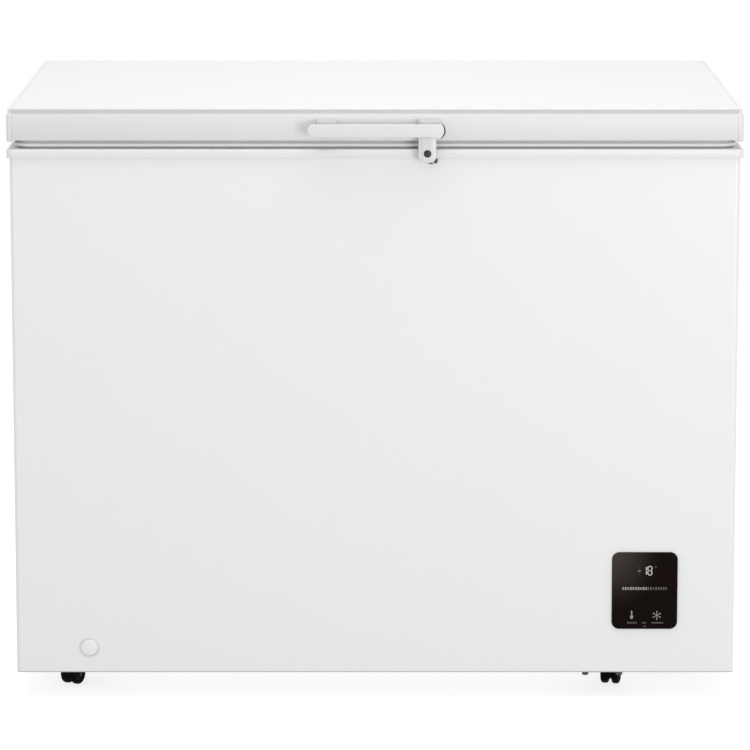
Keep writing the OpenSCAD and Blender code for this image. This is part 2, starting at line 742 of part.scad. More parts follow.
// Cabinet side: a hat-shaped channel whose cheeks hold the pin and whose floor tab seats the spring
module hinge_brackets() color(steel) hinge_place() difference() {
    union() {
        // back web and side flanges against the cabinet
        along_y(-pin_back + gap, -pin_back + gap + bracket_t)
            translate([-34, -bracket_h]) square([68, bracket_h - web_top]);
        for (s = [-1, 1]) translate([s * (cheek_x + bracket_t / 2), 0, 0])
            along_x(-bracket_t / 2, bracket_t / 2) {
                circle(cheek_r, $fn = 64);
                translate([-pin_back + gap, -bracket_h]) square([pin_back + 7, bracket_h - web_top]);
                translate([-cheek_r, -web_top - 2]) square([2 * cheek_r, web_top + 2]);
            }
        box([-cheek_x - 1, -pin_back + gap, -seat_z - 3], [cheek_x + 1, 7, -seat_z]);
    }
    rotate([0, 90, 0]) cylinder(r = pin_r + running, h = 80, center = true, $fn = 64);
    translate([0, -cam_rate, -seat_z - 4]) cylinder(r = 3.6, h = 5, $fn = 32);
    for (s = [-1, 1], z = [-30, -bracket_h + 14]) translate([s * 27, 0, z]) rotate([90, 0, 0])
        cylinder(r = 2.3, h = 40, $fn = 32);
}

module hinge_pins() color(steel) hinge_place() rotate([0, 90, 0]) {
    cylinder(r = pin_r, h = 2 * (cheek_x + bracket_t) + 2, center = true, $fn = 64);
    for (s = [-1, 1]) translate([0, 0, s * (cheek_x + bracket_t + gap + 1)])
        cylinder(r = pin_r + 2, h = 2, center = true, $fn = 64);
}

// The cam's edge lies at a distance from the pin that falls evenly as the lid opens
function cam_edge(a) =
    let (h = cam_h - cam_rate * a * PI / 180)
    [h * sin(a) - cam_rate * cos(a), -h * cos(a) - cam_rate * sin(a)];

module cam_profile() {
    circle(cam_h - cam_rate * (lid_open + 8) * PI / 180, $fn = 48);
    polygon([[0, 0], for (a = [-12:6:lid_open + 6]) cam_edge(a)]);
}

// Lid side: a plate on the lid's back, two ears round the pin, and the cam between them
module hinge_leaves() color(steel) hinge_place() {
    y0 = lid_y - pin_y + gap;
    z0 = lid_z0 - pin_z + 3;
    z1 = lid_z0 - pin_z + 38;
    difference() {
        union() {
            along_y(y0, y0 + 2.5) translate([-30, z0]) square([60, z1 - z0]);
            for (s = [-1, 1]) translate([s * (ear_x + ear_t / 2), 0, 0]) along_x(-ear_t / 2, ear_t / 2) {
                circle(cheek_r, $fn = 64);
                polygon([[y0 + 1, z0 + 1], [y0 + 1, z1 - 4], [y0 + 5, z1 - 4], [cheek_r - 1, 4], [0, 0], [-6, 4]]);
            }
            along_x(-ear_x - 1, ear_x + 1) cam_profile();
        }
        rotate([0, 90, 0]) cylinder(r = pin_r + running, h = 80, center = true, $fn = 64);
        for (s = [-1, 1], z = [z0 + 8, z1 - 8]) translate([s * 22, 0, z]) rotate([90, 0, 0])
            cylinder(r = 2.3, h = 40, $fn = 32);
    }
}

// Follower: a flat head under the cam, and a stem inside the spring
module plunger(s) color([0.85, 0.85, 0.83]) translate([s * hinge_x, pin_y - cam_rate, pin_z - cam_h - free_gap]) {
    slab(-plunger_top, 0) rrect(2 * ear_x - 2, 17, 2);
    translate([0, 0, -60]) cylinder(r = spring_r - spring_wire - 1, h = 60 - plunger_top / 2, $fn = 40);
}

module plunger_left() plunger(-1);
module plunger_right() plunger(1);

module hinge_springs() color([0.4, 0.41, 0.43]) hinge_place() {
    z1 = -cam_h - free_gap - plunger_top - spring_wire - gap;
    z0 = -seat_z + spring_wire + gap;
    steps = 10;
    count = spring_turns * steps;
    bar([for (i = [0:count]) [spring_r * cos(360 * i / steps), -cam_rate + spring_r * sin(360 * i / steps),
                              z0 + (z1 - z0) * i / count]], spring_wire, 6);
}

module hinge_covers() color(soft_white) hinge_place() {
    x = cheek_x + bracket_t + gap;
    z0 = -bracket_h - 2 - gap;
    z1 = -34;
    y1 = lid_y + reach - pin_y;
    difference() {
        hull() {
            box([-x - 2, -pin_back + gap + bracket_t + gap, z0], [x + 2, y1 - 3, z1]);
            box([-x + 1, y1 - 1, z0 + 3], [x - 1, y1, z1 - 3]);
        }
        box([-x, -pin_back, z0 + 2], [x, 7 + gap, z1 + 1]);
        box([-x + 2, 0, z0 + 4], [x - 2, y1 - 2, z1 + 1]);
    }
}

// -------------------------------------------------------------- underside

module caster_plates() color([0.16, 0.16, 0.17]) for (c = casters) translate([c[0], c[1], 0]) difference() {
    rotate([0, 0, c[3]]) slab(plate_z, plate_z + plate_t - eps) translate([-13.7, -19]) rrect(62, 80, 5);
    cylinder(r = stem_r + running, h = cab_z1, $fn = 48);
    for (b = plate_bolts) rotate([0, 0, c[3]]) translate([b[0], b[1], 0])
        cylinder(r = 2.7, h = cab_z1, $fn = 32);
}

module caster_bolts() color([0.13, 0.13, 0.14])
    for (c = casters, b = plate_bolts) translate([c[0], c[1], 0]) rotate([0, 0, c[3]]) translate([b[0], b[1], 0]) {
        translate([0, 0, plate_z - 4.8 - eps]) cylinder(r = 4.6, h = 4.8, $fn = 6);
        translate([0, 0, plate_z - 1]) cylinder(r = 2.5, h = plate_t + 4, $fn = 32);
    }

module caster_place(i) translate([casters[i][0], casters[i][1], 0]) rotate([0, 0, casters[i][2]]) children();

// Swivelling part: stem, cap, mudguard over both wheels and the web between them
module caster_hood(i) color(dark) caster_place(i) {
    guard = wheel_r + 2.5;
    width = 2 * wheel_w + wheel_gap;
    difference() {
        union() {
            translate([-width / 2, trail, wheel_r]) rotate([0, 90, 0]) cylinder(r = guard, h = width, $fn = 96);
            translate([0, 0, wheel_r]) cylinder(r = 9, h = plate_z - free_gap - wheel_r, $fn = 64);
        }
        for (s = [-1, 1]) translate([s * (wheel_x + 1), trail, wheel_r]) rotate([0, 90, 0])
            cylinder(r = wheel_r + 0.7, h = wheel_w + 3, center = true, $fn = 96);
        box([-width, -40, -5], [width, 60, wheel_r * 0.62]);
        translate([-width, trail + wheel_r * 0.66, -1]) cube([2 * width, 60, wheel_r * 1.5]);
        translate([-width, -60 + trail - wheel_r * 0.9, -1]) cube([2 * width, 60, wheel_r * 1.42]);
        translate([-20, trail, wheel_r]) rotate([0, 90, 0]) cylinder(r = axle_r + running, h = 40, $fn = 48);
    }
    // The kingpin ends level with the bottom of the cabinet, just under the base pan
    translate([0, 0, plate_z - 1]) cylinder(r = stem_r, h = cab_z0 - plate_z + 1, $fn = 48);
}

module caster_hood_front_left() caster_hood(0);
module caster_hood_front_right() caster_hood(1);
module caster_hood_rear_left() caster_hood(2);
module caster_hood_rear_right() caster_hood(3);

// Two round-edged wheels on one axle
module caster_wheels(i) color([0.09, 0.09, 0.1]) caster_place(i) translate([0, trail, wheel_r]) {
    round_r = 3.4;
    for (s = [-1, 1]) translate([s * wheel_x, 0, 0]) rotate([0, s * 90, 0]) rotate_extrude($fn = 96)
        difference() {
            union() {
                translate([0, -wheel_w / 2]) square([wheel_r - round_r, wheel_w]);
                translate([0, -wheel_w / 2 + round_r]) square([wheel_r, wheel_w - 2 * round_r]);
                for (k = [-1, 1]) translate([wheel_r - round_r, k * (wheel_w / 2 - round_r)])
                    circle(round_r, $fn = 40);
            }
            translate([5.5, wheel_w / 2 - 1.2]) square([wheel_r - 5.5 - round_r - 0.4, 3]);
        }
    rotate([0, 90, 0]) cylinder(r = axle_r, h = 2 * wheel_x, center = true, $fn = 48);
}

module caster_wheels_front_left() caster_wheels(0);
module caster_wheels_front_right() caster_wheels(1);
module caster_wheels_rear_left() caster_wheels(2);
module caster_wheels_rear_right() caster_wheels(3);

// ------------------------------------------------------------- fasteners

// A pan-head screw along +Y, with its head's underside at y = 0
module screw(r, head_r, h) rotate([-90, 0, 0]) {
    translate([0, 0, -h]) cylinder(r = r, h = h + 0.5, $fn = 24);
    intersection() {
        cylinder(r = head_r, h = 2.2, $fn = 40);
        translate([0, 0, 2.2 - head_r * 1.5]) sphere(head_r * 1.5, $fn = 40);
    }
}

module cabinet_screws() color(steel) {
    hinge_place() for (s = [-1, 1], z = [-30, -bracket_h + 14])
        translate([s * 27, -pin_back + gap + bracket_t + eps, z]) screw(2, 4, 12);
    for (x = [-1, -0.5, 0, 0.5, 1]) translate([x * (cab_x - 11), cab_y + eps, pan_z + 22])
        if (abs(x) == 1) screw(1.8, 3.6, 8);
    for (s = [-1, 1], z = [bay_z + 40, cab_z1 - 30]) translate([s * (cab_x - 11), cab_y + eps, z])
        screw(1.8, 3.6, 8);
}

module lid_screws() color(steel) hinge_place()
    for (s = [-1, 1], z = [lid_z0 - pin_z + 11, lid_z0 - pin_z + 30])
        translate([s * 22, lid_y - pin_y + gap + 2.5 + eps, z]) screw(2, 4, 12);

// Pegs that hold the cabinet off the wall behind it
module rear_spacers() color(dark) for (s = [-1, 1])
    translate([s * (cab_x - 60), cab_y - sheet_t - gap + eps, cab_z1 - 70]) rotate([-90, 0, 0]) rotate_extrude($fn = 48) {
        square([17, 3]);
        square([9, lid_y + reach - cab_y + sheet_t + gap - eps - 3]);
        translate([0, lid_y + reach - cab_y + sheet_t + gap - eps - 7]) square([12, 7]);
    }

// ------------------------------------------------------------------- lid

// Cross-section of the lid in y and z, set in by d all round and lowered at the foot
module lid_section(d, drop = 0) {
    r = 2.4;
    y = lid_y - d;
    z0 = lid_z0 + d - drop;
    z1 = lid_z1 - d;
    arc = [for (a = [0:22.5:90]) [y - band_in - r + r * sin(a), z1 - r + r * cos(a)]];
    half = [each arc, [y - band_in - 1, z1 - band_h + d], [y, z1 - band_h - 1.2 + d], [y, z0]];
    polygon([each half, for (i = [len(half) - 1:-1:0]) [-half[i][0], half[i][1]]]);
}

module lid_skin() color(white) along_x(-lid_x + cap_w, lid_x - cap_w) difference() {
    lid_section(0);
    lid_section(lid_t);
    translate([-lid_y + lid_fold, lid_z0 - 1]) square([2 * (lid_y - lid_fold), 4]);
}

// End cap: the same section, a little lower, with its top band set in as well
module lid_cap(s) color(soft_white) {
    x0 = lid_x - cap_w + gap;
    mirror([s < 0 ? 1 : 0, 0, 0]) difference() {
        union() {
            intersection() {
                along_x(x0, lid_x) lid_section(0, cap_drop);
                slab(lid_z0 - cap_drop - 1, lid_z1 + 1) rrect(2 * lid_x, 2 * lid_y, 5);
                union() {
                    box([0, -lid_y - 1, 0], [lid_x, lid_y + 1, lid_z1 - band_h]);
                    box([0, -lid_y - 1, 0], [lid_x - band_in, lid_y + 1, lid_z1 + 1]);
                }
            }
        }
        // hollow behind
        along_x(x0 - 1, lid_x - 2.5 - band_in) lid_section(3);
    }
}

module lid_cap_left() lid_cap(-1);
module lid_cap_right() lid_cap(1);

module lid_liner() color(soft_white) {
    edge_x = lid_x - cap_w - 1;
    edge_y = lid_y - lid_t - gap;
    difference() {
        union() {
            slab(lid_base, lid_base + lid_liner_t) square([2 * edge_x, 2 * edge_y], center = true);
            hull() {
                slab(plug_z, plug_z + 1) offset(r = plug_r, $fn = 32)
                    square(2 * [plug_x - 6 - plug_r, plug_y - 6 - plug_r], center = true);
                slab(lid_base, lid_base + lid_liner_t) offset(r = plug_r, $fn = 32)
                    square(2 * [plug_x - plug_r, plug_y - plug_r], center = true);
            }
        }
        hull() {
            slab(plug_z + lid_liner_t, plug_z + 2) offset(r = plug_r, $fn = 32)
                square(2 * [plug_x - 7 - plug_r, plug_y - 7 - plug_r], center = true);
            slab(lid_base, lid_base + lid_liner_t + 1) offset(r = plug_r, $fn = 32)
                square(2 * [plug_x - 1.2 - plug_r, plug_y - 1.2 - plug_r], center = true);
        }
        translate([0, 0, plug_z - 1]) linear_extrude(6) rrect(lamp_l - 12, lamp_w - 12, 4);
    }
}

lamp_l = 150;
lamp_w = 64;
lamp_drop = 6;

module lid_foam() color([0.93, 0.86, 0.66]) {
    base = lid_base + lid_liner_t + gap;
    difference() {
        union() {
            intersection() {
                along_x(-lid_x + cap_w + 1, lid_x - cap_w - 1) lid_section(lid_t + gap);
                slab(base, lid_z1) square(2 * [lid_x, lid_y], center = true);
            }
            hull() {
                slab(plug_z + lid_liner_t + gap, plug_z + 3) offset(r = plug_r, $fn = 32)
                    square(2 * [plug_x - 7.6 - plug_r, plug_y - 7.6 - plug_r], center = true);
                slab(base - 1, base + 1) offset(r = plug_r, $fn = 32)
                    square(2 * [plug_x - 2 - plug_r, plug_y - 2 - plug_r], center = true);
            }
        }
        slab(plug_z, plug_z + 24) rrect(lamp_l - 10, lamp_w - 10, 4);
    }
}

// Soft seal: a foot in the lid, a narrow neck, a full bulb and a narrow magnet strip
module lid_gasket() color([0.8, 0.8, 0.8]) {
    top = lid_base - gap;
    neck = 5;
    bulb = 4.6;
    base_h = 3.2;
    z0 = collar_z + free_gap;
    slab(z0, z0 + base_h + eps) ring(2 * gasket_x - 8, 2 * gasket_y - 8, 6, gasket_w - 8);
    slab(z0 + base_h, z0 + base_h + bulb) ring(2 * gasket_x, 2 * gasket_y, 8, gasket_w);
    slab(z0 + base_h + bulb - eps, top) ring(2 * gasket_x - 2 * neck, 2 * gasket_y - 2 * neck, 5, gasket_w - 2 * neck);
}

module lamp_housing() color(soft_white) difference() {
    union() {
        slab(plug_z - 1.6, plug_z - gap) rrect(lamp_l, lamp_w, 10);
        slab(plug_z - 1, plug_z + 22) rrect(lamp_l - 13, lamp_w - 13, 3.5);
    }
    slab(plug_z - 3, plug_z + 20) rrect(lamp_l - 18, lamp_w - 18, 3);
}

module lamp_lens() color([0.96, 0.96, 0.9]) difference() {
    hull() {
        slab(plug_z - lamp_drop, plug_z - lamp_drop + 1) offset(r = 6, $fn = 24)
            square([lamp_l - 44, lamp_w - 44], center = true);
        slab(plug_z - 1.8, plug_z + 2) offset(r = 3, $fn = 24)
            square([lamp_l - 19 - 6, lamp_w - 19 - 6], center = true);
    }
    slab(plug_z - lamp_drop + 2, plug_z + 3) rrect(lamp_l - 38, lamp_w - 38, 3);
}

// ------------------------------------------------------- handle and lock

module bar_outline(d) {
    r = handle_h / 2;
    translate([bar_x0 + r, bar_z]) circle(r - d, $fn = 48);
    translate([bar_x1 - knob_r, bar_z]) circle(r - d, $fn = 48);
    translate([bar_x0 + r, bar_z - r + d]) square([bar_x1 - bar_x0 - knob_r - r, 2 * (r - d)]);
}

module flap_outline(d) {
    r = 9.5;
    x0 = flap_x - flap_w / 2 + d;
    x1 = flap_x + flap_w / 2 - d;
    translate([x1 - r, flap_z0 + d + r]) circle(r, $fn = 48);
    translate([x0 + r, flap_z0 + d + r]) circle(r, $fn = 48);
    translate([x0 + r, flap_z0 + d]) square([x1 - x0 - 2 * r, r]);
    translate([x0, flap_z0 + d + r]) square([x1 - x0, bar_z - flap_z0 - r - d]);
}

module handle() color(soft_white) difference() {
    union() {
        hull() {
            along_y(front_y + 4, front_y + bar_t) bar_outline(0);
            along_y(front_y + 1.2, front_y + 2) bar_outline(1.6);
            along_y(front_y, front_y + 1) bar_outline(4);
        }
        hull() {
            along_y(front_y + 4, front_y + bar_t + 4) translate([bar_x1 - knob_r, knob_z]) circle(knob_r, $fn = 40);
            along_y(front_y + 1.2, front_y + 2) translate([bar_x1 - knob_r, knob_z]) circle(knob_r - 1.6, $fn = 40);
            along_y(front_y, front_y + 1) translate([bar_x1 - knob_r, knob_z]) circle(knob_r - 4, $fn = 40);
        }
        // feet between the bar and the lid
        along_y(front_y + bar_t - 1, -lid_y - gap) {
            translate([bar_x0 + 11, bar_z - handle_h / 2 + 1]) rrect_at(foot_w, foot_h, 4);
            translate([bar_x1 - 32, knob_z - knob_r + 2]) rrect_at(foot_w, 2 * knob_r - 3, 4);
        }
        along_y(flap_y0 + 3, flap_y1) flap_outline(0);
        along_y(flap_y0, flap_y0 + 4) difference() {
            flap_outline(1);
            translate([flap_x - flap_w / 2 - 1, flap_z0 - 1]) square([4.6, 60]);
        }
    }
    // lock's seat, and the knob's shadow gap on its right-hand side
    translate([lock_x, 0, lock_z]) rotate([90, 0, 0])
        cylinder(r = barrel_r + running, h = lid_y + reach + 10, $fn = 64);
    translate([0, -lid_y - 3.4, 0]) along_y(0, 2) translate([bar_x1 - knob_r, knob_z]) difference() {
        circle(knob_r + 4, $fn = 48);
        circle(knob_r - 2.4, $fn = 48);
        translate([-40, -40]) square([40, 80]);
    }
}

// A rounded rectangle that starts at the origin
module rrect_at(w, d, r) translate([w / 2, d / 2]) rrect(w, d, r);

module lock_barrel() color([0.2, 0.2, 0.21]) difference() {
    union() {
        translate([lock_x, 0, lock_z]) rotate([90, 0, 0]) translate([0, 0, -flap_y1 + 0.1])
            cylinder(r = barrel_r, h = flap_y1 - flap_y0 - 1.3, $fn = 64);
        translate([lock_x, 0, lock_z]) rotate([90, 0, 0]) translate([0, 0, -flap_y1 - cam_t - 0.2])
            cylinder(r = 2.6, h = cam_t + 1, $fn = 40);
    }
    // keyway
    translate([lock_x, flap_y0, lock_z]) cube([1.3, 14, 5.6], center = true);
}

module lock_cam() color(steel) along_y(flap_y1 + free_gap, flap_y1 + free_gap + cam_t) translate([lock_x, lock_z])
    difference() {
        union() {
            circle(cam_w / 2 + 1, $fn = 48);
            translate([-cam_w / 2, -cam_l]) square([cam_w, cam_l]);
        }
        circle(2.7, $fn = 40);
    }

// ---------------------------------------------------------------- basket

module hoop(z, d) translate([basket_x, 0, z]) {
    w = basket_w;
    l = 2 * basket_y;
    r = basket_r;
    for (s = [-1, 1]) {
        translate([s * (w / 2), -l / 2 + r, 0]) rotate([-90, 0, 0]) cylinder(d = d, h = l - 2 * r, $fn = 32);
        translate([-w / 2 + r, s * (l / 2), 0]) rotate([0, 90, 0]) cylinder(d = d, h = w - 2 * r, $fn = 32);
    }
    for (a = [0:3]) let (i = a == 0 || a == 3 ? 1 : -1, j = a < 2 ? 1 : -1)
        translate([i * (w / 2 - r), j * (l / 2 - r), 0]) rotate([0, 0, 90 * a])
            rotate_extrude(angle = 90, $fn = 64) translate([r, 0]) circle(d = d, $fn = 32);
}

module basket_rim() color(white) hoop(rim_z, rim_d);

function spread(count, length) = [for (i = [0:count - 1]) (i - (count - 1) / 2) * length / (count - 1)];

// Two lighter hoops round the wires
module basket_hoops() color(white)
    for (z = [basket_z0 + wire_d, basket_z0 + basket_h / 2]) hoop(z, rim_d - 1);

// Upright and floor wires, welded inside the rim
module basket_wires() color(white) {
    weld = 0.1;
    off = rim_d / 2 + wire_d / 2 + weld;
    side = basket_w / 2 - off;
    end = basket_y - off;
    ys = spread(long_wires, 2 * basket_y - 2 * basket_r - 2 * wire_d);
    xs = spread(short_wires, basket_w - 2 * basket_r - 2 * wire_d);
    top = rim_z + 1;
    for (y = ys, s = [-1, 1]) translate([basket_x + s * side, y, basket_z0]) cylinder(d = wire_d, h = top - basket_z0, $fn = 24);
    for (x = xs, s = [-1, 1]) translate([basket_x + x, s * end, basket_z0]) cylinder(d = wire_d, h = top - basket_z0, $fn = 24);
    for (y = ys) translate([basket_x - side - wire_d / 2, y, basket_z0 - wire_d / 2 - weld])
        rotate([0, 90, 0]) cylinder(d = wire_d, h = 2 * side + wire_d, $fn = 24);
    for (x = xs) translate([basket_x + x, -end - wire_d / 2, basket_z0 - 1.5 * wire_d - 2 * weld])
        rotate([-90, 0, 0]) cylinder(d = wire_d, h = 2 * end + wire_d, $fn = 24);
}

// Wire loops at both ends, which hook over the collar's lip and lie on its ledge
module basket_hangers() color(white) for (s = [-1, 1]) {
    y0 = s * (basket_y - rim_d - 0.2);
    bar(rounded([[basket_x - hanger_x, y0, rim_z - 40], [basket_x - hanger_x, y0, hanger_z],
                 [basket_x - hanger_x, s * hanger_y, hanger_z], [basket_x + hanger_x, s * hanger_y, hanger_z],
                 [basket_x + hanger_x, y0, hanger_z], [basket_x + hanger_x, y0, rim_z - 40]],
                6, 4), rim_d / 2, 10);
}

outer_wrap();
back_panel();
base_pan();
base_rails();
foam_insulation();
inner_liner();
collar_frame();
evaporator_coil();
condenser_coil();
compressor();
compressor_grommets();
starter_box();
refrigerant_pipes();
filter_dryer();
control_housing();
control_glass();
side_grille();
rear_grille();
drain_tube();
drain_bezel();
lock_keeper();
hinge_brackets();
hinge_pins();
hinge_covers();
hinge_springs();
caster_plates();
caster_bolts();
cabinet_screws();
rear_spacers();
cord_gland();
lid_skin();
lid_cap_left();
lid_cap_right();
lid_liner();
lid_foam();
lid_gasket();
lamp_housing();
lamp_lens();
hinge_leaves();
handle();
lid_screws();
lock_barrel();
lock_cam();
plunger_left();
plunger_right();
basket_rim();
basket_hoops();
basket_wires();
basket_hangers();
drain_spout();
drain_plug();
caster_hood_front_left();
caster_hood_front_right();
caster_hood_rear_left();
caster_hood_rear_right();
caster_wheels_front_left();
caster_wheels_front_right();
caster_wheels_rear_left();
caster_wheels_rear_right();
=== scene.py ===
import bpy
import bmesh
import json
import math
from mathutils import Matrix, Vector


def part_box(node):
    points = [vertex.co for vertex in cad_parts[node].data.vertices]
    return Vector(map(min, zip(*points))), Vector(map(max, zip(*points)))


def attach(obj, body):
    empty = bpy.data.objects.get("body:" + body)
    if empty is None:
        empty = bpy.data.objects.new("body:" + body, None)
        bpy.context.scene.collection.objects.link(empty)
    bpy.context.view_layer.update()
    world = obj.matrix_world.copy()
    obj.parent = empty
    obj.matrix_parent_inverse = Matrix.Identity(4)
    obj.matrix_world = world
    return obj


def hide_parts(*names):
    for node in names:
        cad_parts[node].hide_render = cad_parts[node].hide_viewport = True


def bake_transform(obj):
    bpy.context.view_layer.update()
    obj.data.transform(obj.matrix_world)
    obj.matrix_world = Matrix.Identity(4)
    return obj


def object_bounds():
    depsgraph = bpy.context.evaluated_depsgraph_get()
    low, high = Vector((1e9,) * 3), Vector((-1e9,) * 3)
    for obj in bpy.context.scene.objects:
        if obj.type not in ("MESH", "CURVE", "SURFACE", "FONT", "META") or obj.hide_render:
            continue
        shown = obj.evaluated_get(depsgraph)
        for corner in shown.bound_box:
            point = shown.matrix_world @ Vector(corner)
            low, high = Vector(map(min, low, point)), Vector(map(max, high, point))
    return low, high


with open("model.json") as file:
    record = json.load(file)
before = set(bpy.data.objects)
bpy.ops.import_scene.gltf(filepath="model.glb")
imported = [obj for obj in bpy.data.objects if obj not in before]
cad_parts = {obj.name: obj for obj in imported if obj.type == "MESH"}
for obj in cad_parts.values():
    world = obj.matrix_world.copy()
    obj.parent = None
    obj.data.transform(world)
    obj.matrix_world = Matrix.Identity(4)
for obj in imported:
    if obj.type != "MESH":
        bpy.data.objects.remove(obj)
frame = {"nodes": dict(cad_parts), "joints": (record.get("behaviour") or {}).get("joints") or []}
cad_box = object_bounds()
NODES = frame["nodes"]
MM = 0.001
WHITE = (1.0, 1.0, 1.0, 1.0)


def grey(value, tint=(1.0, 1.0, 1.0)):
    return (value * tint[0], value * tint[1], value * tint[2], 1.0)


def placed(name, data):
    thing = bpy.data.objects.new(name, data)
    bpy.context.scene.collection.objects.link(thing)
    return thing


def add_node(tree, kind, settings=(), **inputs):
    """Adds a shader node and gives its outputs. Inputs go by name, with _ for a space, or by place as n0."""
    made = tree.nodes.new(kind)
    for key, value in dict(settings).items():
        setattr(made, key, value)
    for key, value in inputs.items():
        by_place = key[0] == "n" and key[1:].isdigit()
        socket = made.inputs[int(key[1:]) if by_place else key.replace("_", " ")]
        if isinstance(value, bpy.types.NodeSocket):
            tree.links.new(value, socket)
        else:
            socket.default_value = value
    return made.outputs


# ------------------------------------------------------------ camera and studio

def set_camera():
    down = 9.62
    data = bpy.data.cameras.new("studio_camera")
    data.sensor_width = 36.0
    data.lens = 195.5
    data.shift_y = -0.06
    data.clip_end = 100.0
    camera = placed("studio_camera", data)
    camera.location = (0.0, -5.96, 1.489)
    camera.rotation_euler = (math.radians(90.0 - down), 0.0, 0.0)
    bpy.context.scene.camera = camera


def softbox(name, place, aim, size, power):
    data = bpy.data.lights.new(name, "AREA")
    data.shape = "RECTANGLE"
    data.size, data.size_y = size
    data.energy = power
    lamp = placed(name, data)
    lamp.location = place
    lamp.rotation_euler = (Vector(aim) - Vector(place)).to_track_quat("-Z", "Y").to_euler()


def any_view_ray(tree):
    """1 for rays that see the backdrop itself: straight, mirrored or through glass."""
    path = add_node(tree, "ShaderNodeLightPath")
    either = {"operation": "MAXIMUM"}
    seen = add_node(tree, "ShaderNodeMath", either, n0=path["Is Camera Ray"], n1=path["Is Glossy Ray"])[0]
    return add_node(tree, "ShaderNodeMath", either, n0=seen, n1=path["Is Transmission Ray"])[0]


def set_studio():
    scene = bpy.context.scene
    scene.view_settings.view_transform = "Standard"
    world = bpy.data.worlds.new("white_studio")
    scene.world = world
    world.use_nodes = True
    tree = world.node_tree
    tree.nodes.clear()
    fill = add_node(tree, "ShaderNodeBackground", Color=WHITE, Strength=0.71)[0]
    seen = add_node(tree, "ShaderNodeBackground", Color=WHITE, Strength=1.0)[0]
    mixed = add_node(tree, "ShaderNodeMixShader", n0=any_view_ray(tree), n1=fill, n2=seen)[0]
    add_node(tree, "ShaderNodeOutputWorld", Surface=mixed)

    softbox("overhead_softbox", (0.05, -0.4, 3.2), (0.0, 0.0, 0.8), (2.6, 2.2), 36.0)
    softbox("right_softbox", (1.95, -4.3, 0.65), (0.2, -0.3, 0.45), (1.5, 1.2), 47.0)
    softbox("left_softbox", (-3.4, -2.6, 1.6), (-0.2, -0.2, 0.5), (1.4, 1.6), 0.8)


def white_floor():
    """Paper that keeps the soft shadow near the cabinet and turns pure white farther out."""
    shape = bmesh.new()
    bmesh.ops.create_circle(shape, cap_ends=True, segments=96, radius=14.0)
    material = bpy.data.materials.new("floor_paper")
    material.use_nodes = True
    tree = material.node_tree
    tree.nodes.clear()
    paper = add_node(tree, "ShaderNodeBsdfDiffuse", Color=grey(0.36))[0]
    lift = add_node(tree, "ShaderNodeEmission", Color=WHITE, Strength=0.79)[0]
    dark = add_node(tree, "ShaderNodeEmission", Strength=0.22)[0]
    pick = add_node(tree, "ShaderNodeMixShader", n0=any_view_ray(tree), n1=dark, n2=lift)[0]
    near = add_node(tree, "ShaderNodeAddShader", n0=paper, n1=pick)[0]
    far = add_node(tree, "ShaderNodeEmission", Color=WHITE)[0]
    where = add_node(tree, "ShaderNodeTexCoord")["Object"]
    reach = add_node(tree, "ShaderNodeVectorMath", {"operation": "LENGTH"}, n0=where)["Value"]
    fade = add_node(tree, "ShaderNodeMapRange", Value=reach, From_Min=2.4, From_Max=5.0)["Result"]
    ends = add_node(tree, "ShaderNodeMixShader", n0=fade, n1=near, n2=far)[0]
    add_node(tree, "ShaderNodeOutputMaterial", Surface=ends)
    floor = as_piece("studio_floor", shape, material)
    floor.location = (0.0, 0.0, cad_box[0][2])


# ---------------------------------------------------------------- surface effects

class Effect:
    """A shader node group under construction, with short words for its nodes."""

    def __init__(self, name, inputs, outputs):
        self.tree = bpy.data.node_groups.new(name, "ShaderNodeTree")
        for label, kind, value in inputs:
            socket = self.tree.interface.new_socket(label, in_out="INPUT", socket_type=kind)
            socket.default_value = value
        for label, kind in outputs:
            self.tree.interface.new_socket(label, in_out="OUTPUT", socket_type=kind)
        self.given = self.tree.nodes.new("NodeGroupInput").outputs
        self.result = self.tree.nodes.new("NodeGroupOutput").inputs

    def node(self, kind, settings=(), **inputs):
        return add_node(self.tree, kind, settings, **inputs)

    def place(self, stretch=(1.0, 1.0, 1.0)):
        spot = self.node("ShaderNodeTexCoord")["Object"]
        return self.node("ShaderNodeMapping", Vector=spot, Scale=stretch)["Vector"]

    def noise(self, scale, detail=2.0, stretch=(1.0, 1.0, 1.0)):
        return self.node("ShaderNodeTexNoise", Vector=self.place(stretch), Scale=scale, Detail=detail)

    def maths(self, how, a, b):
        return self.node("ShaderNodeMath", {"operation": how}, n0=a, n1=b)[0]

    def blend(self, share, a, b, how="MIX"):
        return self.node("ShaderNodeMix", {"data_type": "RGBA", "blend_type": how}, n0=share, n6=a, n7=b)[2]

    def put(self, label, value):
        self.tree.links.new(value, self.result[label])


FLOAT = "NodeSocketFloat"
COLOUR = "NodeSocketColor"


def make_tone_drift():
    """Colour that drifts a little darker in wide soft patches."""
    e = Effect("tone_drift", [("Colour", COLOUR, WHITE), ("Amount", FLOAT, 0.03), ("Scale", FLOAT, 3.0)],
               [("Colour", COLOUR)])
    patches = e.noise(e.given["Scale"], 3.0)["Fac"]
    share = e.maths("MULTIPLY", patches, e.given["Amount"])
    deep = e.blend(1.0, e.given["Colour"], (0.55, 0.55, 0.56, 1.0), "MULTIPLY")
    e.put("Colour", e.blend(share, e.given["Colour"], deep))
    return e.tree


def make_smudge():
    """Roughness that changes a little from place to place, as on wiped plastic."""
    e = Effect("wiped_smudge", [("Roughness", FLOAT, 0.4), ("Amount", FLOAT, 0.1), ("Scale", FLOAT, 9.0)],
               [("Roughness", FLOAT)])
    cloud = e.noise(e.given["Scale"], 5.0)["Fac"]
    swing = e.maths("MULTIPLY", e.maths("SUBTRACT", cloud, 0.5), e.given["Amount"])
    e.put("Roughness", e.maths("ADD", e.given["Roughness"], swing))
    return e.tree


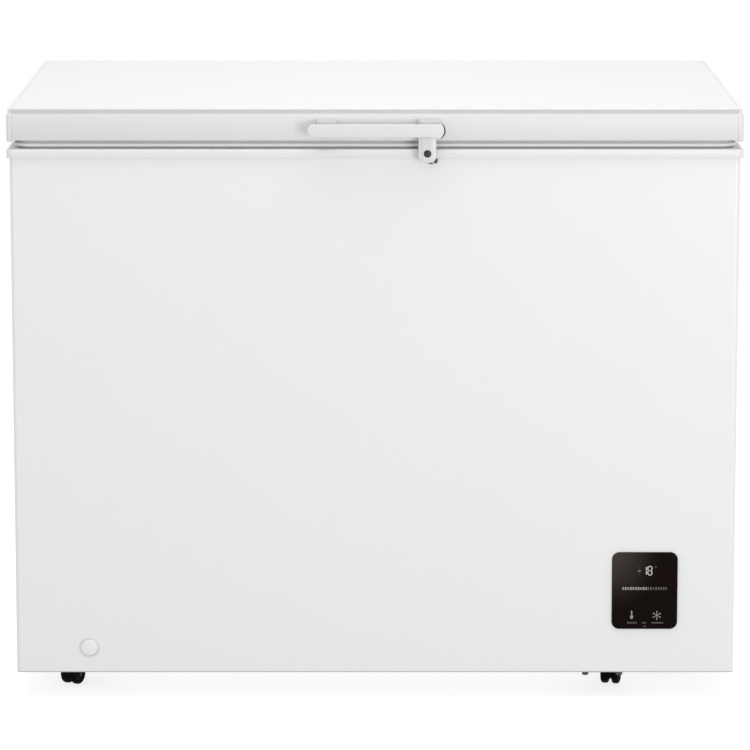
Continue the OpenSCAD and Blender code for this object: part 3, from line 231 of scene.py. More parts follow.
def make_enamel_peel():
    """The slight waviness of baked enamel on sheet metal."""
    e = Effect("enamel_peel", [("Scale", FLOAT, 260.0), ("Waviness", FLOAT, 3.0)], [("Height", FLOAT)])
    fine = e.noise(e.given["Scale"], 1.0)["Fac"]
    wide = e.maths("MULTIPLY", e.noise(e.given["Waviness"], 1.0)["Fac"], 2.0)
    e.put("Height", e.maths("ADD", fine, wide))
    return e.tree


def make_moulded_grain():
    """The fine spark-eroded grain of moulded plastic."""
    e = Effect("moulded_grain", [("Scale", FLOAT, 900.0), ("Softness", FLOAT, 0.5)], [("Height", FLOAT)])
    spot = e.place()
    cells = e.node("ShaderNodeTexVoronoi", Vector=spot, Scale=e.given["Scale"])["Distance"]
    cloud = e.noise(e.given["Scale"], 3.0)["Fac"]
    both = e.node("ShaderNodeMix", {"data_type": "FLOAT"}, n0=e.given["Softness"], n2=cells, n3=cloud)
    e.put("Height", both[0])
    return e.tree


def make_brushing():
    """Fine parallel drawing lines in steel, along Z."""
    e = Effect("drawn_lines", [("Scale", FLOAT, 400.0), ("Depth", FLOAT, 1.0)], [("Height", FLOAT)])
    lines = e.noise(e.given["Scale"], 3.0, (1.0, 1.0, 0.03))["Fac"]
    e.put("Height", e.maths("MULTIPLY", lines, e.given["Depth"]))
    return e.tree


def make_spangle():
    """Zinc crystals: flat patches of slightly different grey and gloss."""
    e = Effect("zinc_spangle", [("Colour", COLOUR, WHITE), ("Contrast", FLOAT, 0.12), ("Scale", FLOAT, 70.0)],
               [("Colour", COLOUR), ("Roughness", FLOAT)])
    crystals = e.node("ShaderNodeTexVoronoi", Vector=e.place(), Scale=e.given["Scale"])["Color"]
    grey = e.node("ShaderNodeSeparateColor", Color=crystals)[0]
    share = e.maths("MULTIPLY", grey, e.given["Contrast"])
    e.put("Colour", e.blend(share, e.given["Colour"], (0.25, 0.26, 0.28, 1.0)))
    e.put("Roughness", e.maths("ADD", e.maths("MULTIPLY", grey, 0.2), 0.32))
    return e.tree


def make_foam_cells():
    """Blown foam: open bubbles where it was cut, and yellowish patches."""
    e = Effect("foam_cells", [("Colour", COLOUR, WHITE), ("Scale", FLOAT, 320.0)],
               [("Colour", COLOUR), ("Height", FLOAT)])
    cells = e.node("ShaderNodeTexVoronoi", Vector=e.place(), Scale=e.given["Scale"])["Distance"]
    patch = e.noise(7.0, 4.0)["Fac"]
    aged = e.blend(1.0, e.given["Colour"], (0.88, 0.76, 0.5, 1.0), "MULTIPLY")
    e.put("Colour", e.blend(e.maths("MULTIPLY", patch, 0.6), e.given["Colour"], aged))
    e.put("Height", cells)
    return e.tree


def make_edge_rub():
    """A mask that is strong on rubbed outer edges and broken up by noise."""
    e = Effect("edge_rub", [("Reach", FLOAT, 0.53), ("Breakup", FLOAT, 60.0)], [("Mask", FLOAT)])
    bend = e.node("ShaderNodeNewGeometry")["Pointiness"]
    full = e.maths("ADD", e.given["Reach"], 0.06)
    edge = e.node("ShaderNodeMapRange", Value=bend, From_Min=e.given["Reach"], From_Max=full)["Result"]
    specks = e.maths("GREATER_THAN", e.noise(e.given["Breakup"], 4.0)["Fac"], 0.5)
    e.put("Mask", e.maths("MULTIPLY", edge, specks))
    return e.tree


def make_settled_dust():
    """A mask of dust on the faces that look up."""
    e = Effect("settled_dust", [("Amount", FLOAT, 0.3), ("Scale", FLOAT, 40.0)], [("Mask", FLOAT)])
    up = e.node("ShaderNodeSeparateXYZ", Vector=e.node("ShaderNodeNewGeometry")["Normal"])["Z"]
    clamped = {"operation": "MULTIPLY", "use_clamp": True}
    level = e.node("ShaderNodeMath", clamped, n0=up, n1=e.given["Amount"])[0]
    e.put("Mask", e.maths("MULTIPLY", level, e.noise(e.given["Scale"], 5.0)["Fac"]))
    return e.tree


TONE = make_tone_drift()
SMUDGE = make_smudge()
PEEL = make_enamel_peel()
GRAIN = make_moulded_grain()
LINES = make_brushing()
SPANGLE = make_spangle()
CELLS = make_foam_cells()
RUB = make_edge_rub()
DUST = make_settled_dust()


# ------------------------------------------------------------------- materials

class Material:
    """One finish: a Principled shader with effects wired to it."""

    def __init__(self, name, roughness=0.4, **sockets):
        self.material = bpy.data.materials.new(name)
        self.material.use_nodes = True
        self.tree = self.material.node_tree
        self.shader = self.tree.nodes["Principled BSDF"]
        self.shader.inputs["Roughness"].default_value = roughness
        for key, value in sockets.items():
            self.shader.inputs[key.replace("_", " ")].default_value = value

    def effect(self, group, **values):
        return add_node(self.tree, "ShaderNodeGroup", {"node_tree": group}, **values)

    def feed(self, socket, value):
        self.tree.links.new(value, self.shader.inputs[socket])

    def tone(self, colour, amount, scale):
        return self.effect(TONE, Colour=colour, Amount=amount, Scale=scale)["Colour"]

    def wiped(self, roughness, amount, scale):
        cloud = self.effect(SMUDGE, Roughness=roughness, Amount=amount, Scale=scale)
        self.feed("Roughness", cloud["Roughness"])

    def bump(self, height, distance):
        node = add_node(self.tree, "ShaderNodeBump", Height=height, Distance=distance, Strength=1.0)
        self.feed("Normal", node["Normal"])

    def over(self, mask, below, colour):
        return add_node(self.tree, "ShaderNodeMix", {"data_type": "RGBA"}, n0=mask, n6=below, n7=colour)[2]


def enamel(name, colour, roughness=0.3, waviness=3.0, gloss=0.5, coat=0.12):
    m = Material(name, roughness, Specular_IOR_Level=gloss, Coat_Weight=coat, Coat_Roughness=0.16)
    m.feed("Base Color", m.tone(colour, 0.035, 1.7))
    m.wiped(roughness, 0.08, 4.0)
    m.bump(m.effect(PEEL, Scale=420.0, Waviness=waviness)["Height"], 0.00006)
    return m.material


def moulded(name, colour, roughness=0.42, grain=1100.0, depth=0.00004, drift=0.06, wiped=0.12, **sockets):
    m = Material(name, roughness, **sockets)
    m.feed("Base Color", m.tone(colour, drift, 6.0))
    m.wiped(roughness, wiped, 14.0)
    m.bump(m.effect(GRAIN, Scale=grain, Softness=0.5)["Height"], depth)
    return m.material


def galvanised(name, colour, scale=190.0):
    m = Material(name, 0.4, Metallic=0.85)
    zinc = m.effect(SPANGLE, Colour=colour, Contrast=0.16, Scale=scale)
    dusty = m.over(m.effect(DUST, Amount=0.25, Scale=30.0)["Mask"], zinc["Colour"], (0.45, 0.43, 0.4, 1.0))
    m.feed("Base Color", dusty)
    m.feed("Roughness", zinc["Roughness"])
    m.bump(m.effect(PEEL, Scale=300.0, Waviness=5.0)["Height"], 0.00005)
    return m.material


def drawn_steel(name, colour, roughness=0.32):
    m = Material(name, roughness, Metallic=1.0)
    tone = m.tone(colour, 0.3, 22.0)
    worn = m.over(m.effect(RUB, Reach=0.53, Breakup=90.0)["Mask"], tone, (0.72, 0.72, 0.73, 1.0))
    m.feed("Base Color", worn)
    m.wiped(roughness, 0.12, 30.0)
    m.bump(m.effect(LINES, Scale=500.0, Depth=1.0)["Height"], 0.00003)
    return m.material


def painted_black(name, colour, roughness=0.4):
    m = Material(name, roughness, Coat_Weight=0.2, Coat_Roughness=0.2)
    tone = m.tone(colour, 0.2, 9.0)
    dusty = m.over(m.effect(DUST, Amount=0.18, Scale=60.0)["Mask"], tone, (0.3, 0.28, 0.25, 1.0))
    m.feed("Base Color", dusty)
    m.wiped(roughness, 0.2, 12.0)
    m.bump(m.effect(PEEL, Scale=600.0, Waviness=20.0)["Height"], 0.00004)
    return m.material


def copper(name):
    m = Material(name, 0.3, Metallic=1.0)
    tone = m.tone((0.78, 0.42, 0.26, 1.0), 0.7, 14.0)
    m.feed("Base Color", tone)
    m.wiped(0.34, 0.25, 40.0)
    m.bump(m.effect(LINES, Scale=300.0, Depth=1.0)["Height"], 0.00003)
    return m.material


def blown_foam(name):
    m = Material(name, 0.85)
    foam = m.effect(CELLS, Colour=(0.88, 0.78, 0.55, 1.0), Scale=420.0)
    m.feed("Base Color", foam["Colour"])
    m.bump(foam["Height"], 0.0004)
    return m.material


def dark_glass(name):
    """Smoked front of the control panel, with a painted reflection: a soft grey patch in its colour over its
    upper left corner.
    """
    m = Material(name, 0.12, Specular_IOR_Level=0.04)
    lo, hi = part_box("control_glass")
    reflection_reach, oval = 0.072, (1.0, 0.0, 0.82)
    where = add_node(m.tree, "ShaderNodeTexCoord")["Object"]
    corner = add_node(m.tree, "ShaderNodeMapping", Vector=where, Location=(-lo[0], 0.0, -hi[2]))[0]
    flat = add_node(m.tree, "ShaderNodeVectorMath", {"operation": "MULTIPLY"}, n0=corner, n1=oval)[0]
    reach = add_node(m.tree, "ShaderNodeVectorMath", {"operation": "LENGTH"}, n0=flat)["Value"]
    fade = add_node(m.tree, "ShaderNodeMapRange", {"interpolation_type": "SMOOTHSTEP"}, Value=reach,
                    From_Min=0.0, From_Max=reflection_reach, To_Min=1.0, To_Max=0.0)["Result"]
    tone = m.tone((0.0058, 0.0022, 0.0016, 1.0), 0.3, 14.0)
    # The soft grey patch at the upper left corner is a painted reflection.
    m.feed("Base Color", m.over(fade, tone, (0.052, 0.044, 0.038, 1.0)))
    m.wiped(0.12, 0.06, 30.0)
    return m.material


def lit_mark(name, level):
    """A window in the panel's print, lit from behind."""
    m = Material(name, 0.5, Emission_Strength=1.0, Specular_IOR_Level=0.1, Base_Color=grey(0.02))
    glow = m.tone(grey(level, (1.0, 0.96, 0.93)), 0.35, 160.0)
    m.feed("Emission Color", glow)
    return m.material


def milky_lens(name):
    m = Material(name, 0.3, Coat_Weight=0.2)
    m.feed("Base Color", m.tone((0.8, 0.8, 0.77, 1.0), 0.08, 20.0))
    m.wiped(0.35, 0.1, 30.0)
    m.bump(m.effect(GRAIN, Scale=500.0, Softness=0.2)["Height"], 0.00015)
    return m.material


WHITE_ENAMEL = enamel("white_enamel", grey(0.885))
# The hem's mid grey is painted shade under the wrap's folded edge.
HEM_SHADE_ENAMEL = enamel("hem_painted_shade", grey(0.5))
LID_ENAMEL = enamel("lid_enamel", grey(0.79), 0.42, 2.0, 0.25, 0.03)
# The band's grey is painted shade in the lid's set-back top band.
BAND_SHADE_PLASTIC = moulded("lid_band_painted_shade", grey(0.64), 0.4)
CAP_PLASTIC = moulded("end_cap_white", grey(0.8), 0.4)
COLLAR_PLASTIC = moulded("collar_white", grey(0.84), 0.35, 1300.0, 0.00003)
HANDLE_PLASTIC = moulded("handle_white", grey(0.78, (1.0, 1.0, 1.01)), 0.34, 1500.0, 0.00002, Coat_Weight=0.1)
LINER_PLASTIC = moulded("liner_white", grey(0.84), 0.38, 700.0, 0.00003, 0.04, 0.04)
TRIM_PLASTIC = moulded("trim_white", grey(0.82), 0.4)
SEAL_RUBBER = moulded("seal_grey", grey(0.86), 0.6, 1800.0, 0.00003)
# The feet's grey is painted shadow from the bar above them.
FOOT_SHADE_PLASTIC = moulded("handle_foot_painted_shade", grey(0.57), 0.4, 1500.0, 0.00002)
RING_PLASTIC = moulded("drain_ring_grey", grey(0.74), 0.45)
SPOUT_PLASTIC = moulded("spout_white", grey(0.9), 0.45)
# The strip's dark grey and the root's grey are painted shade in the creases below and above the gasket.
GASKET_FOOT_SHADE_RUBBER = moulded("gasket_foot_painted_shade", grey(0.42), 0.7, 1600.0, 0.00003)
SEAL_ROOT_SHADE_RUBBER = moulded("gasket_groove_painted_shade", grey(0.64), 0.7, 1600.0, 0.00003)
# Real black rubber for the grommets and the cord gland; on the handle's end crescent it is painted shade.
BLACK_RUBBER_AND_SHADE = moulded("soft_black_rubber_and_painted_shade", grey(0.03), 0.75, 1600.0, 0.00006)
BLACK_PLASTIC = moulded("black_plastic", grey(0.03), 0.5, 1300.0, 0.00005)
CASTER_PLASTIC = moulded("caster_black", grey(0.002), 0.36, 1300.0, 0.00004, Specular_IOR_Level=0.04)
TREAD_PLASTIC = moulded("tread_black", grey(0.003), 0.5, 900.0, 0.00008, Specular_IOR_Level=0.03)
HUB_PLASTIC = moulded("hub_black", grey(0.008), 0.4, 1300.0, 0.00004, Specular_IOR_Level=0.12)
PLUNGER_PLASTIC = moulded("plunger_natural", grey(0.75), 0.45)
ZINC_SHEET = galvanised("zinc_sheet", (0.66, 0.67, 0.69, 1.0))
RAIL_ZINC = galvanised("rail_zinc", (0.58, 0.59, 0.61, 1.0), 240.0)
HINGE_STEEL = drawn_steel("hinge_steel", (0.6, 0.61, 0.63, 1.0))
PIN_STEEL = drawn_steel("pin_steel", (0.72, 0.73, 0.75, 1.0), 0.18)
SPRING_STEEL = drawn_steel("spring_steel", (0.3, 0.31, 0.33, 1.0), 0.35)
SCREW_STEEL = drawn_steel("screw_steel", (0.68, 0.69, 0.7, 1.0), 0.28)
CASTER_STEEL = painted_black("caster_plate_black", grey(0.035))
SHELL_BLACK = painted_black("compressor_black", grey(0.02), 0.35)
LOCK_DARK = painted_black("lock_dark", grey(0.017), 0.28)
# The near black of the keyway and the screw recesses is painted shade in their hollows.
RECESS_SHADE_BLACK = painted_black("recess_painted_shade", grey(0.004), 0.6)
COPPER = copper("tube_copper")
FOAM = blown_foam("wall_foam")
PANEL_GLASS = dark_glass("panel_glass")
LENS = milky_lens("lamp_lens")
MARK_BRIGHT = lit_mark("mark_bright", 0.62)
MARK_MIDDLE = lit_mark("mark_middle", 0.30)
MARK_DIM = lit_mark("mark_dim", 0.12)
MARK_FAINT = lit_mark("mark_faint", 0.055)

FINISHES = (
    (WHITE_ENAMEL, "outer_wrap"), (LID_ENAMEL, "lid_skin"), (ZINC_SHEET, "back_panel base_pan"),
    (RAIL_ZINC, "base_rails"), (FOAM, "foam_insulation lid_foam"), (LINER_PLASTIC, "inner_liner lid_liner"),
    (COLLAR_PLASTIC, "collar_frame"), (CAP_PLASTIC, "lid_cap_left lid_cap_right"),
    (SEAL_RUBBER, "lid_gasket"),
    (COPPER, "evaporator_coil condenser_coil refrigerant_pipes filter_dryer"), (SHELL_BLACK, "compressor"),
    (BLACK_RUBBER_AND_SHADE, "compressor_grommets cord_gland"), (PANEL_GLASS, "control_glass"), (LENS, "lamp_lens"),
    (BLACK_PLASTIC, "starter_box control_housing rear_grille lock_keeper rear_spacers"),
    (TRIM_PLASTIC, "side_grille drain_tube drain_bezel drain_spout drain_plug hinge_covers lamp_housing"),
    (TRIM_PLASTIC, "basket_rim basket_hoops basket_wires basket_hangers"), (HANDLE_PLASTIC, "handle"),
    (HINGE_STEEL, "hinge_brackets hinge_leaves lock_cam"), (PIN_STEEL, "hinge_pins"),
    (SPRING_STEEL, "hinge_springs"), (SCREW_STEEL, "cabinet_screws lid_screws"), (LOCK_DARK, "lock_barrel"),
    (CASTER_STEEL, "caster_plates caster_bolts"), (PLUNGER_PLASTIC, "plunger_left plunger_right"),
)
CAD_FINISH = {node: look for look, names in FINISHES for node in names.split()}
for node_name, node_object in NODES.items():
    look = CAD_FINISH.get(node_name, TREAD_PLASTIC if "wheels" in node_name else CASTER_PLASTIC)
    if not node_object.material_slots:
        node_object.data.materials.append(look)
    for node_slot in node_object.material_slots:
        node_slot.material = look


# ------------------------------------------------------------- maker's tools

def as_piece(name, shape, material):
    mesh = bpy.data.meshes.new(name)
    shape.to_mesh(mesh)
    shape.free()
    mesh.materials.append(material)
    return placed(name, mesh)


def finished(name, shape, material, body, sharp=32.0, replaced=()):
    """Turns a bmesh into a piece: joined corners, outward faces, smooth except at sharp edges."""
    bmesh.ops.remove_doubles(shape, verts=shape.verts, dist=1e-6)
    bmesh.ops.recalc_face_normals(shape, faces=shape.faces)
    for face in shape.faces:
        face.smooth = True
    for edge in shape.edges:
        if len(edge.link_faces) == 2:
            edge.smooth = edge.calc_face_angle(0.0) < math.radians(sharp)
    piece = as_piece(name, shape, material)
    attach(piece, body)
    if replaced:
        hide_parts(*replaced)


def sized(points, x=0.0, z=0.0):
    """Pairs in millimetres as metres, counted from x and z."""
    return [(x + a * MM, z + b * MM) for a, b in points]


def skin(shape, rows, ring=False):
    """Quads between rows of points that have equal counts. ring joins the last row to the first."""
    made = [[shape.verts.new(p) for p in row] for row in rows]
    count = len(rows[0])
    last = len(made) if ring else len(made) - 1
    for i in range(last):
        a, b = made[i], made[(i + 1) % len(made)]
        for k in range(count):
            j = (k + 1) % count
            shape.faces.new((a[k], a[j], b[j], b[k]))
    if not ring:
        shape.faces.new(list(reversed(made[0])))
        shape.faces.new(made[-1])


def round_rect(w, d, r, n=10, cx=0.0, cy=0.0):
    r = max(r, 1e-5)
    points = []
    for k, (sx, sy) in enumerate(((1, 1), (-1, 1), (-1, -1), (1, -1))):
        for i in range(n + 1):
            a = math.radians(90.0 * (k + i / n))
            points.append((cx + sx * (w / 2 - r) + r * math.cos(a), cy + sy * (d / 2 - r) + r * math.sin(a)))
    return points


def arc(x, z, r, start, end, n=6, rise=None):
    """Points of an arc in a profile, angles in degrees. rise: its half height, where that isn't r."""
    rise = r if rise is None else rise
    turn = [math.radians(start + (end - start) * i / n) for i in range(n + 1)]
    return [(x + r * math.cos(a), z + rise * math.sin(a)) for a in turn]


def framed(w, d, corner, profile):
    """Rows of a frame with rounded corners, w by d, from (outset, height) points."""
    return [[(x, y, z) for x, y in round_rect(w + 2 * o, d + 2 * o, corner + o)] for o, z in profile]


def front(points, y):
    """Outline points in x and z, set at a depth y."""
    return [(x, y, z) for x, z in points]


def tilted(points, degrees, x, z):
    """Outline points turned, then moved to x and z."""
    turn = Matrix.Rotation(math.radians(degrees), 2)
    return [(x + p[0], z + p[1]) for p in [turn @ Vector(q) for q in points]]


def turned(shape, profile, centre, along="z", n=48, ring=False):
    """A turned shape from (radius, height) points, round an axis through centre."""
    rows = []
    cx, cy, cz = centre
    for r, h in profile:
        r = max(r, 1e-6)
        row = []
        for i in range(n):
            a = 2 * math.pi * i / n
            u, v = r * math.cos(a), r * math.sin(a)
            row.append((cx + u, cy + v, cz + h) if along == "z" else (cx + u, cy + h, cz + v))
        rows.append(row)
    skin(shape, rows, ring)


def wire(shape, path, r, n=10):
    """A round wire along a path, ends closed."""
    rows = []
    side = None
    for i, point in enumerate(path):
        ahead = Vector(path[min(i + 1, len(path) - 1)]) - Vector(path[max(i - 1, 0)])
        ahead.normalize()
        if side is None:
            side = ahead.orthogonal().normalized()
        side = (side - ahead * side.dot(ahead)).normalized()
        other = ahead.cross(side)
        rows.append([Vector(point) + r * (math.cos(a) * side + math.sin(a) * other)
                     for a in [2 * math.pi * k / n for k in range(n)]])
    skin(shape, rows)


def filleted(path, r, n=5):
    """The path with its inner corners rounded to radius r."""
    points = [Vector(p) for p in path]
    out = [points[0]]
    for a, b, c in zip(points, points[1:], points[2:]):
        u, v = (a - b).normalized(), (c - b).normalized()
        half = math.acos(max(-1.0, min(1.0, u.dot(v)))) / 2
        reach = r / math.tan(half)
        centre = b + (u + v).normalized() * r / math.sin(half)
        p, q = b + u * reach - centre, b + v * reach - centre
        sweep = math.pi - 2 * half
        for i in range(n + 1):
            t = i / n
            out.append(centre + (math.sin((1 - t) * sweep) * p + math.sin(t * sweep) * q) / math.sin(sweep))
    out.append(points[-1])
    return out


def closer(outlines, step):
    """Closed outlines with equal counts, with points added till the first has none over step apart."""
    lengths = [(Vector(b) - Vector(a)).length for a, b in zip(outlines[0], outlines[0][1:] + outlines[0][:1])]
    out = []
    for outline in outlines:
        row = []
        for a, b, length in zip(outline, outline[1:] + outline[:1], lengths):
            parts = max(1, math.ceil(length / step))
            row += [tuple(Vector(a).lerp(Vector(b), i / parts)) for i in range(parts)]
        out.append(row)
    return out


def box_at(shape, lo, hi):
    rows = [[(x, y, z) for x, y in ((lo[0], lo[1]), (hi[0], lo[1]), (hi[0], hi[1]), (lo[0], hi[1]))]
            for z in (lo[2], hi[2])]
    skin(shape, rows)


# -------------------------------------------------------------- cabinet pieces

def collar():
    """The collar on the walls: nosed skirt, sealing flat, basket ledge, lip into the liner."""
    lo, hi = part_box("collar_frame")
    z1 = hi[2]
    # A hair shallower than its box, so that the hinge plungers slide past its back edge
    w, d = hi[0] - lo[0], hi[1] - lo[1] - 0.4 * MM
    z0 = z1 - 13 * MM
    ledge = z1 - 8 * MM
    inner = 50.5 * MM
    lip = 77.2 * MM
    nose = 3.4 * MM
    thick = 2.5 * MM
    # Outset, height and corner radius in mm, from the skirt's foot over the top and back underneath
    profile = [(-4.0 * MM, z0, 7), (-1.0 * MM, z0, 9), (-0.3 * MM, z0 + 0.3 * MM, 10)]
    profile += [(0.0, z0 + 1.0 * MM, 10.5)]
    profile += [(x, z, 10.5) for x, z in arc(-nose, z1 - nose, nose, 0, 90, 8)]
    profile += [(x, z, 22) for x, z in arc(-inner + 0.9 * MM, z1 - 0.9 * MM, 0.9 * MM, 90, 180, 4)]
    profile += [(x, z, 22) for x, z in arc(-inner - 0.6 * MM, ledge + 0.6 * MM, 0.6 * MM, 0, -90, 3)]
    profile += [(x, z, 20) for x, z in arc(-lip + 0.9 * MM, ledge - 0.9 * MM, 0.9 * MM, 90, 180, 4)]
    profile += [(-lip, lo[2] + 0.4 * MM, 19.3), (-lip + 0.5 * MM, lo[2], 19.8)]
    profile += [(-lip + 2.3 * MM, lo[2], 21.6), (-lip + 2.4 * MM, ledge - thick, 21.7)]
    profile += [(-inner + thick, ledge - thick, 24), (-inner + thick, z1 - thick, 24)]
    profile += [(-4.2 * MM, z1 - thick, 7)]
    shape = bmesh.new()
    rows = [[(x, y, z) for x, y in round_rect(w + 2 * o, d + 2 * o, r * MM)] for o, z, r in profile]
    skin(shape, rows, ring=True)
    finished("collar_moulding", shape, COLLAR_PLASTIC, "cabinet", 40.0, ("collar_frame",))


def lower_hem():
    """The folded lower edge of the outer wrap, a little in from its face, in a mid grey that is painted shade
    under the fold.
    """
    lo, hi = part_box("outer_wrap")
    profile = sized([(-0.9, -1.5), (-0.5, -1.2), (-0.35, -0.1), (-2.0, -0.1), (-2.0, -1.5)], 0.0, lo[2])
    shape = bmesh.new()
    skin(shape, framed(hi[0] - lo[0], hi[1] - lo[1], 5.5 * MM, profile), ring=True)
    finished("wrap_hem", shape, HEM_SHADE_ENAMEL, "cabinet", 40.0)


def gasket():
    """The lid's seal: soft bellows, with a dark strip at its foot on the collar and a grey root in the lid,
    both painted shade in the seal's creases.
    """
    lo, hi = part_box("lid_gasket")
    w, d = hi[0] - lo[0], hi[1] - lo[1]
    z0, z1 = lo[2], hi[2]
    across = 22 * MM
    corner = 24 * MM
    outer = [(-5.6, 0.0), (-5.2, 0.3), (-5.2, 0.9), (-5.0, 1.6), (-2.4, 2.0), (-0.6, 2.8), (0.0, 4.2),
             (0.0, 5.4), (-0.7, 6.4), (-2.6, 7.0), (-6.6, 7.4), (-7.6, 8.2), (-7.6, 10.8), (-7.2, 12.2)]
    top = z1 - z0
    bellows = sized(outer, 0.0, z0) + [(-7.2 * MM, z0 + top), (-across + 7.2 * MM, z0 + top)]
    bellows += [(-across - x * MM, z0 + z * MM) for x, z in reversed(outer)]
    # The dark strip at the foot and the grey root ring are painted shade.
    strip = sized([(-4.4, 0.05), (-4.1, 0.3), (-4.1, 1.4), (-4.6, 1.6), (-12.0, 1.6), (-12.0, 0.05)], 0.0, z0)
    root = sized([(-6.9, 7.9), (-6.6, 8.3), (-6.6, 11.7), (-6.9, 12.1), (-12.0, 12.1), (-12.0, 7.9)], 0.0, z0)
    for name, profile, material, gone in (("gasket_bellows", bellows, SEAL_RUBBER, ("lid_gasket",)),
                                          ("gasket_foot_shade_strip", strip, GASKET_FOOT_SHADE_RUBBER, ()),
                                          ("seal_root_shade", root, SEAL_ROOT_SHADE_RUBBER, ())):
        shape = bmesh.new()
        skin(shape, framed(w, d, corner, profile), ring=True)
        finished(name, shape, material, "lid", 50.0, gone)


def control_panel():
    """The smoked front plate and the marks that shine through it."""
    lo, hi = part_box("control_glass")
    w, h = hi[0] - lo[0], hi[2] - lo[2]
    cx, cz = (lo[0] + hi[0]) / 2, (lo[2] + hi[2]) / 2
    face = lo[1]
    corner = 10.3 * MM
    shape = bmesh.new()
    rows = []
    for inset, back in [(0.0, hi[1] - lo[1])] + sized([(0.0, 0.9), (0.25, 0.4), (0.7, 0.12), (1.4, 0.0)]):
        outline = round_rect(w - 2 * inset, h - 2 * inset, corner - inset, 14, cx, cz)
        rows.append(front(outline, face + back))
    skin(shape, rows)
    finished("panel_front", shape, PANEL_GLASS, "cabinet", 40.0, ("control_glass",))

    def mark(name, material, bars):
        """Thin raised bars: centre x and z from the panel's middle, width, height and tilt in degrees."""
        shape = bmesh.new()
        for x, z, bw, bh, tilt in bars:
            outline = round_rect(bw * MM, bh * MM, min(bw, bh) * 0.35 * MM, 3)
            points = tilted(outline, tilt, cx + x * MM, cz + z * MM)
            skin(shape, [front(points, face + 0.05 * MM), front(points, face - 0.04 * MM)])
        finished(name, shape, material, "cabinet")

    digit = [(7.0, 35.6, 4.6, 1.35, 0), (7.0, 29.5, 4.4, 1.2, 0), (7.0, 23.4, 4.6, 1.35, 0)]
    digit += [(7.0 + s * 2.75, z, 1.35, 4.9, 0) for s in (-1, 1) for z in (26.4, 32.6)]
    digit += [(2.1, z, 1.5, 5.0, 0) for z in (26.6, 32.4)]
    mark("digit_marks", MARK_BRIGHT, digit)
    mark("minus_mark", MARK_MIDDLE, [(-8.0, 29.2, 3.6, 1.5, 0)])
    mark("minus_glow_marks", MARK_FAINT, [(-8.0, 33.4, 2.6, 1.2, 0), (-8.0, 25.4, 2.6, 1.2, 0)])
    ring = [(15.1 + 1.0 * math.cos(a), 34.9 + 1.0 * math.sin(a), 0.8, 0.5, math.degrees(a) + 90)
            for a in [2 * math.pi * k / 12 for k in range(12)]]
    mark("degree_mark", MARK_DIM, ring)
    pitch, letter = 3.6, 2.1
    heights = [4.2, 4.8, 3.4, 4.8, 4.2]
    left = [(-30.6 + pitch * i, 3.6, 2.5, heights[i % 5], 0) for i in range(10)]
    right = [(5.2 + pitch * i, 3.6, 1.8, heights[i % 5], 0) for i in range(8)]
    mark("scale_marks_set", MARK_MIDDLE, left)
    mark("scale_marks_idle", MARK_DIM, right)
    stem = [(-18.3, -31.8, 1.9, 6.6, 0), (-18.3, -37.6, 4.4, 4.2, 0), (-18.3, -38.0, 3.0, 5.4, 0)]
    mark("thermometer_mark", MARK_MIDDLE, stem)
    flake = []
    for k in range(6):
        a = math.radians(60 * k + 30)
        flake.append((17.5 + 3.2 * math.cos(a), -35.4 + 3.2 * math.sin(a), 6.2, 0.8, 60 * k + 30))
        flake.append((17.5 + 5.4 * math.cos(a), -35.4 + 5.4 * math.sin(a), 1.9, 1.9, 60 * k + 30))
    mark("snowflake_mark", MARK_MIDDLE, flake)
    labels = [(-24.0 + letter * i, -46.3, 1.4, 2.2, 0) for i in range(7)]
    labels += [(-2.8 + letter * i, -46.3, 1.3, 2.0, 0) for i in range(3)]
    labels += [(10.8 + letter * i, -46.3, 1.4, 2.2, 0) for i in range(8)]
    labels += [(-0.8 + 1.9 * i, -51.6, 1.2, 1.7, 0) for i in range(2)]
    mark("label_marks", MARK_DIM, labels)


def drain_front():
    """The drain's pull-out spout and the ring round it."""
    lo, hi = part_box("drain_spout")
    cx, cz = (lo[0] + hi[0]) / 2, (lo[2] + hi[2]) / 2
    r = (hi[0] - lo[0]) / 2
    y0, y1 = lo[1], hi[1]
    cap = bmesh.new()
    profile = sized([(-2.2, 0.0), (-0.2, 0.0), (-0.02, -0.4)], r, y1)
    profile += sized([(-0.02, 0.9), (-0.35, 0.25), (-1.1, 0.0)], r, y0) + [(0.0, y0)]
    turned(cap, profile, (cx, 0.0, cz), "y", 64)
    finished("spout_cap", cap, SPOUT_PLASTIC, "spout", 50.0, ("drain_spout",))
    blo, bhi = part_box("drain_bezel")
    edge = (bhi[0] - blo[0]) / 2
    bore = r + 0.06 * MM
    sheet_face = -0.32 - 0.01 * MM
    profile = [(bore, bhi[1])] + sized([(0.0, 0.5), (0.35, 0.08)], bore, blo[1])
    profile += sized([(-1.3, 0.0), (-0.5, 0.35), (-0.05, 1.0)], edge, blo[1])
    profile += [(edge, sheet_face), (bore + 1.6 * MM, sheet_face), (bore + 1.6 * MM, bhi[1])]
    ring = bmesh.new()
    turned(ring, profile, (cx, 0.0, cz), "y", 64, ring=True)
    finished("drain_ring", ring, RING_PLASTIC, "cabinet", 50.0, ("drain_bezel",))


# ------------------------------------------------------------------ lid pieces

BAND = 8.5 * MM
BAND_IN = 1.7 * MM
TOP_ROUND = 2.4 * MM


def lid_edge(z0, z1, foot):
    """Inset and height up the lid's edge, from its foot to the flat top."""
    rows = [(foot, z0), (foot * 0.3, z0 + foot * 0.3), (0.0, z0 + foot)]
    rows += sized([(0.0, -1.5), (0.12, -1.15), (0.5, -0.95)], 0.0, z1 - BAND)
    rows += sized([(0.7, -0.25), (1.0, 0.2)], BAND_IN, z1 - BAND)
    rows += [(BAND_IN + 0.45 * MM, z1 - BAND / 2), (BAND_IN, z1 - 2.6 * MM)]
    rows += [(BAND_IN + TOP_ROUND - x, z) for x, z in arc(0.0, z1 - TOP_ROUND, TOP_ROUND, 0, 90, 7)]
    return rows


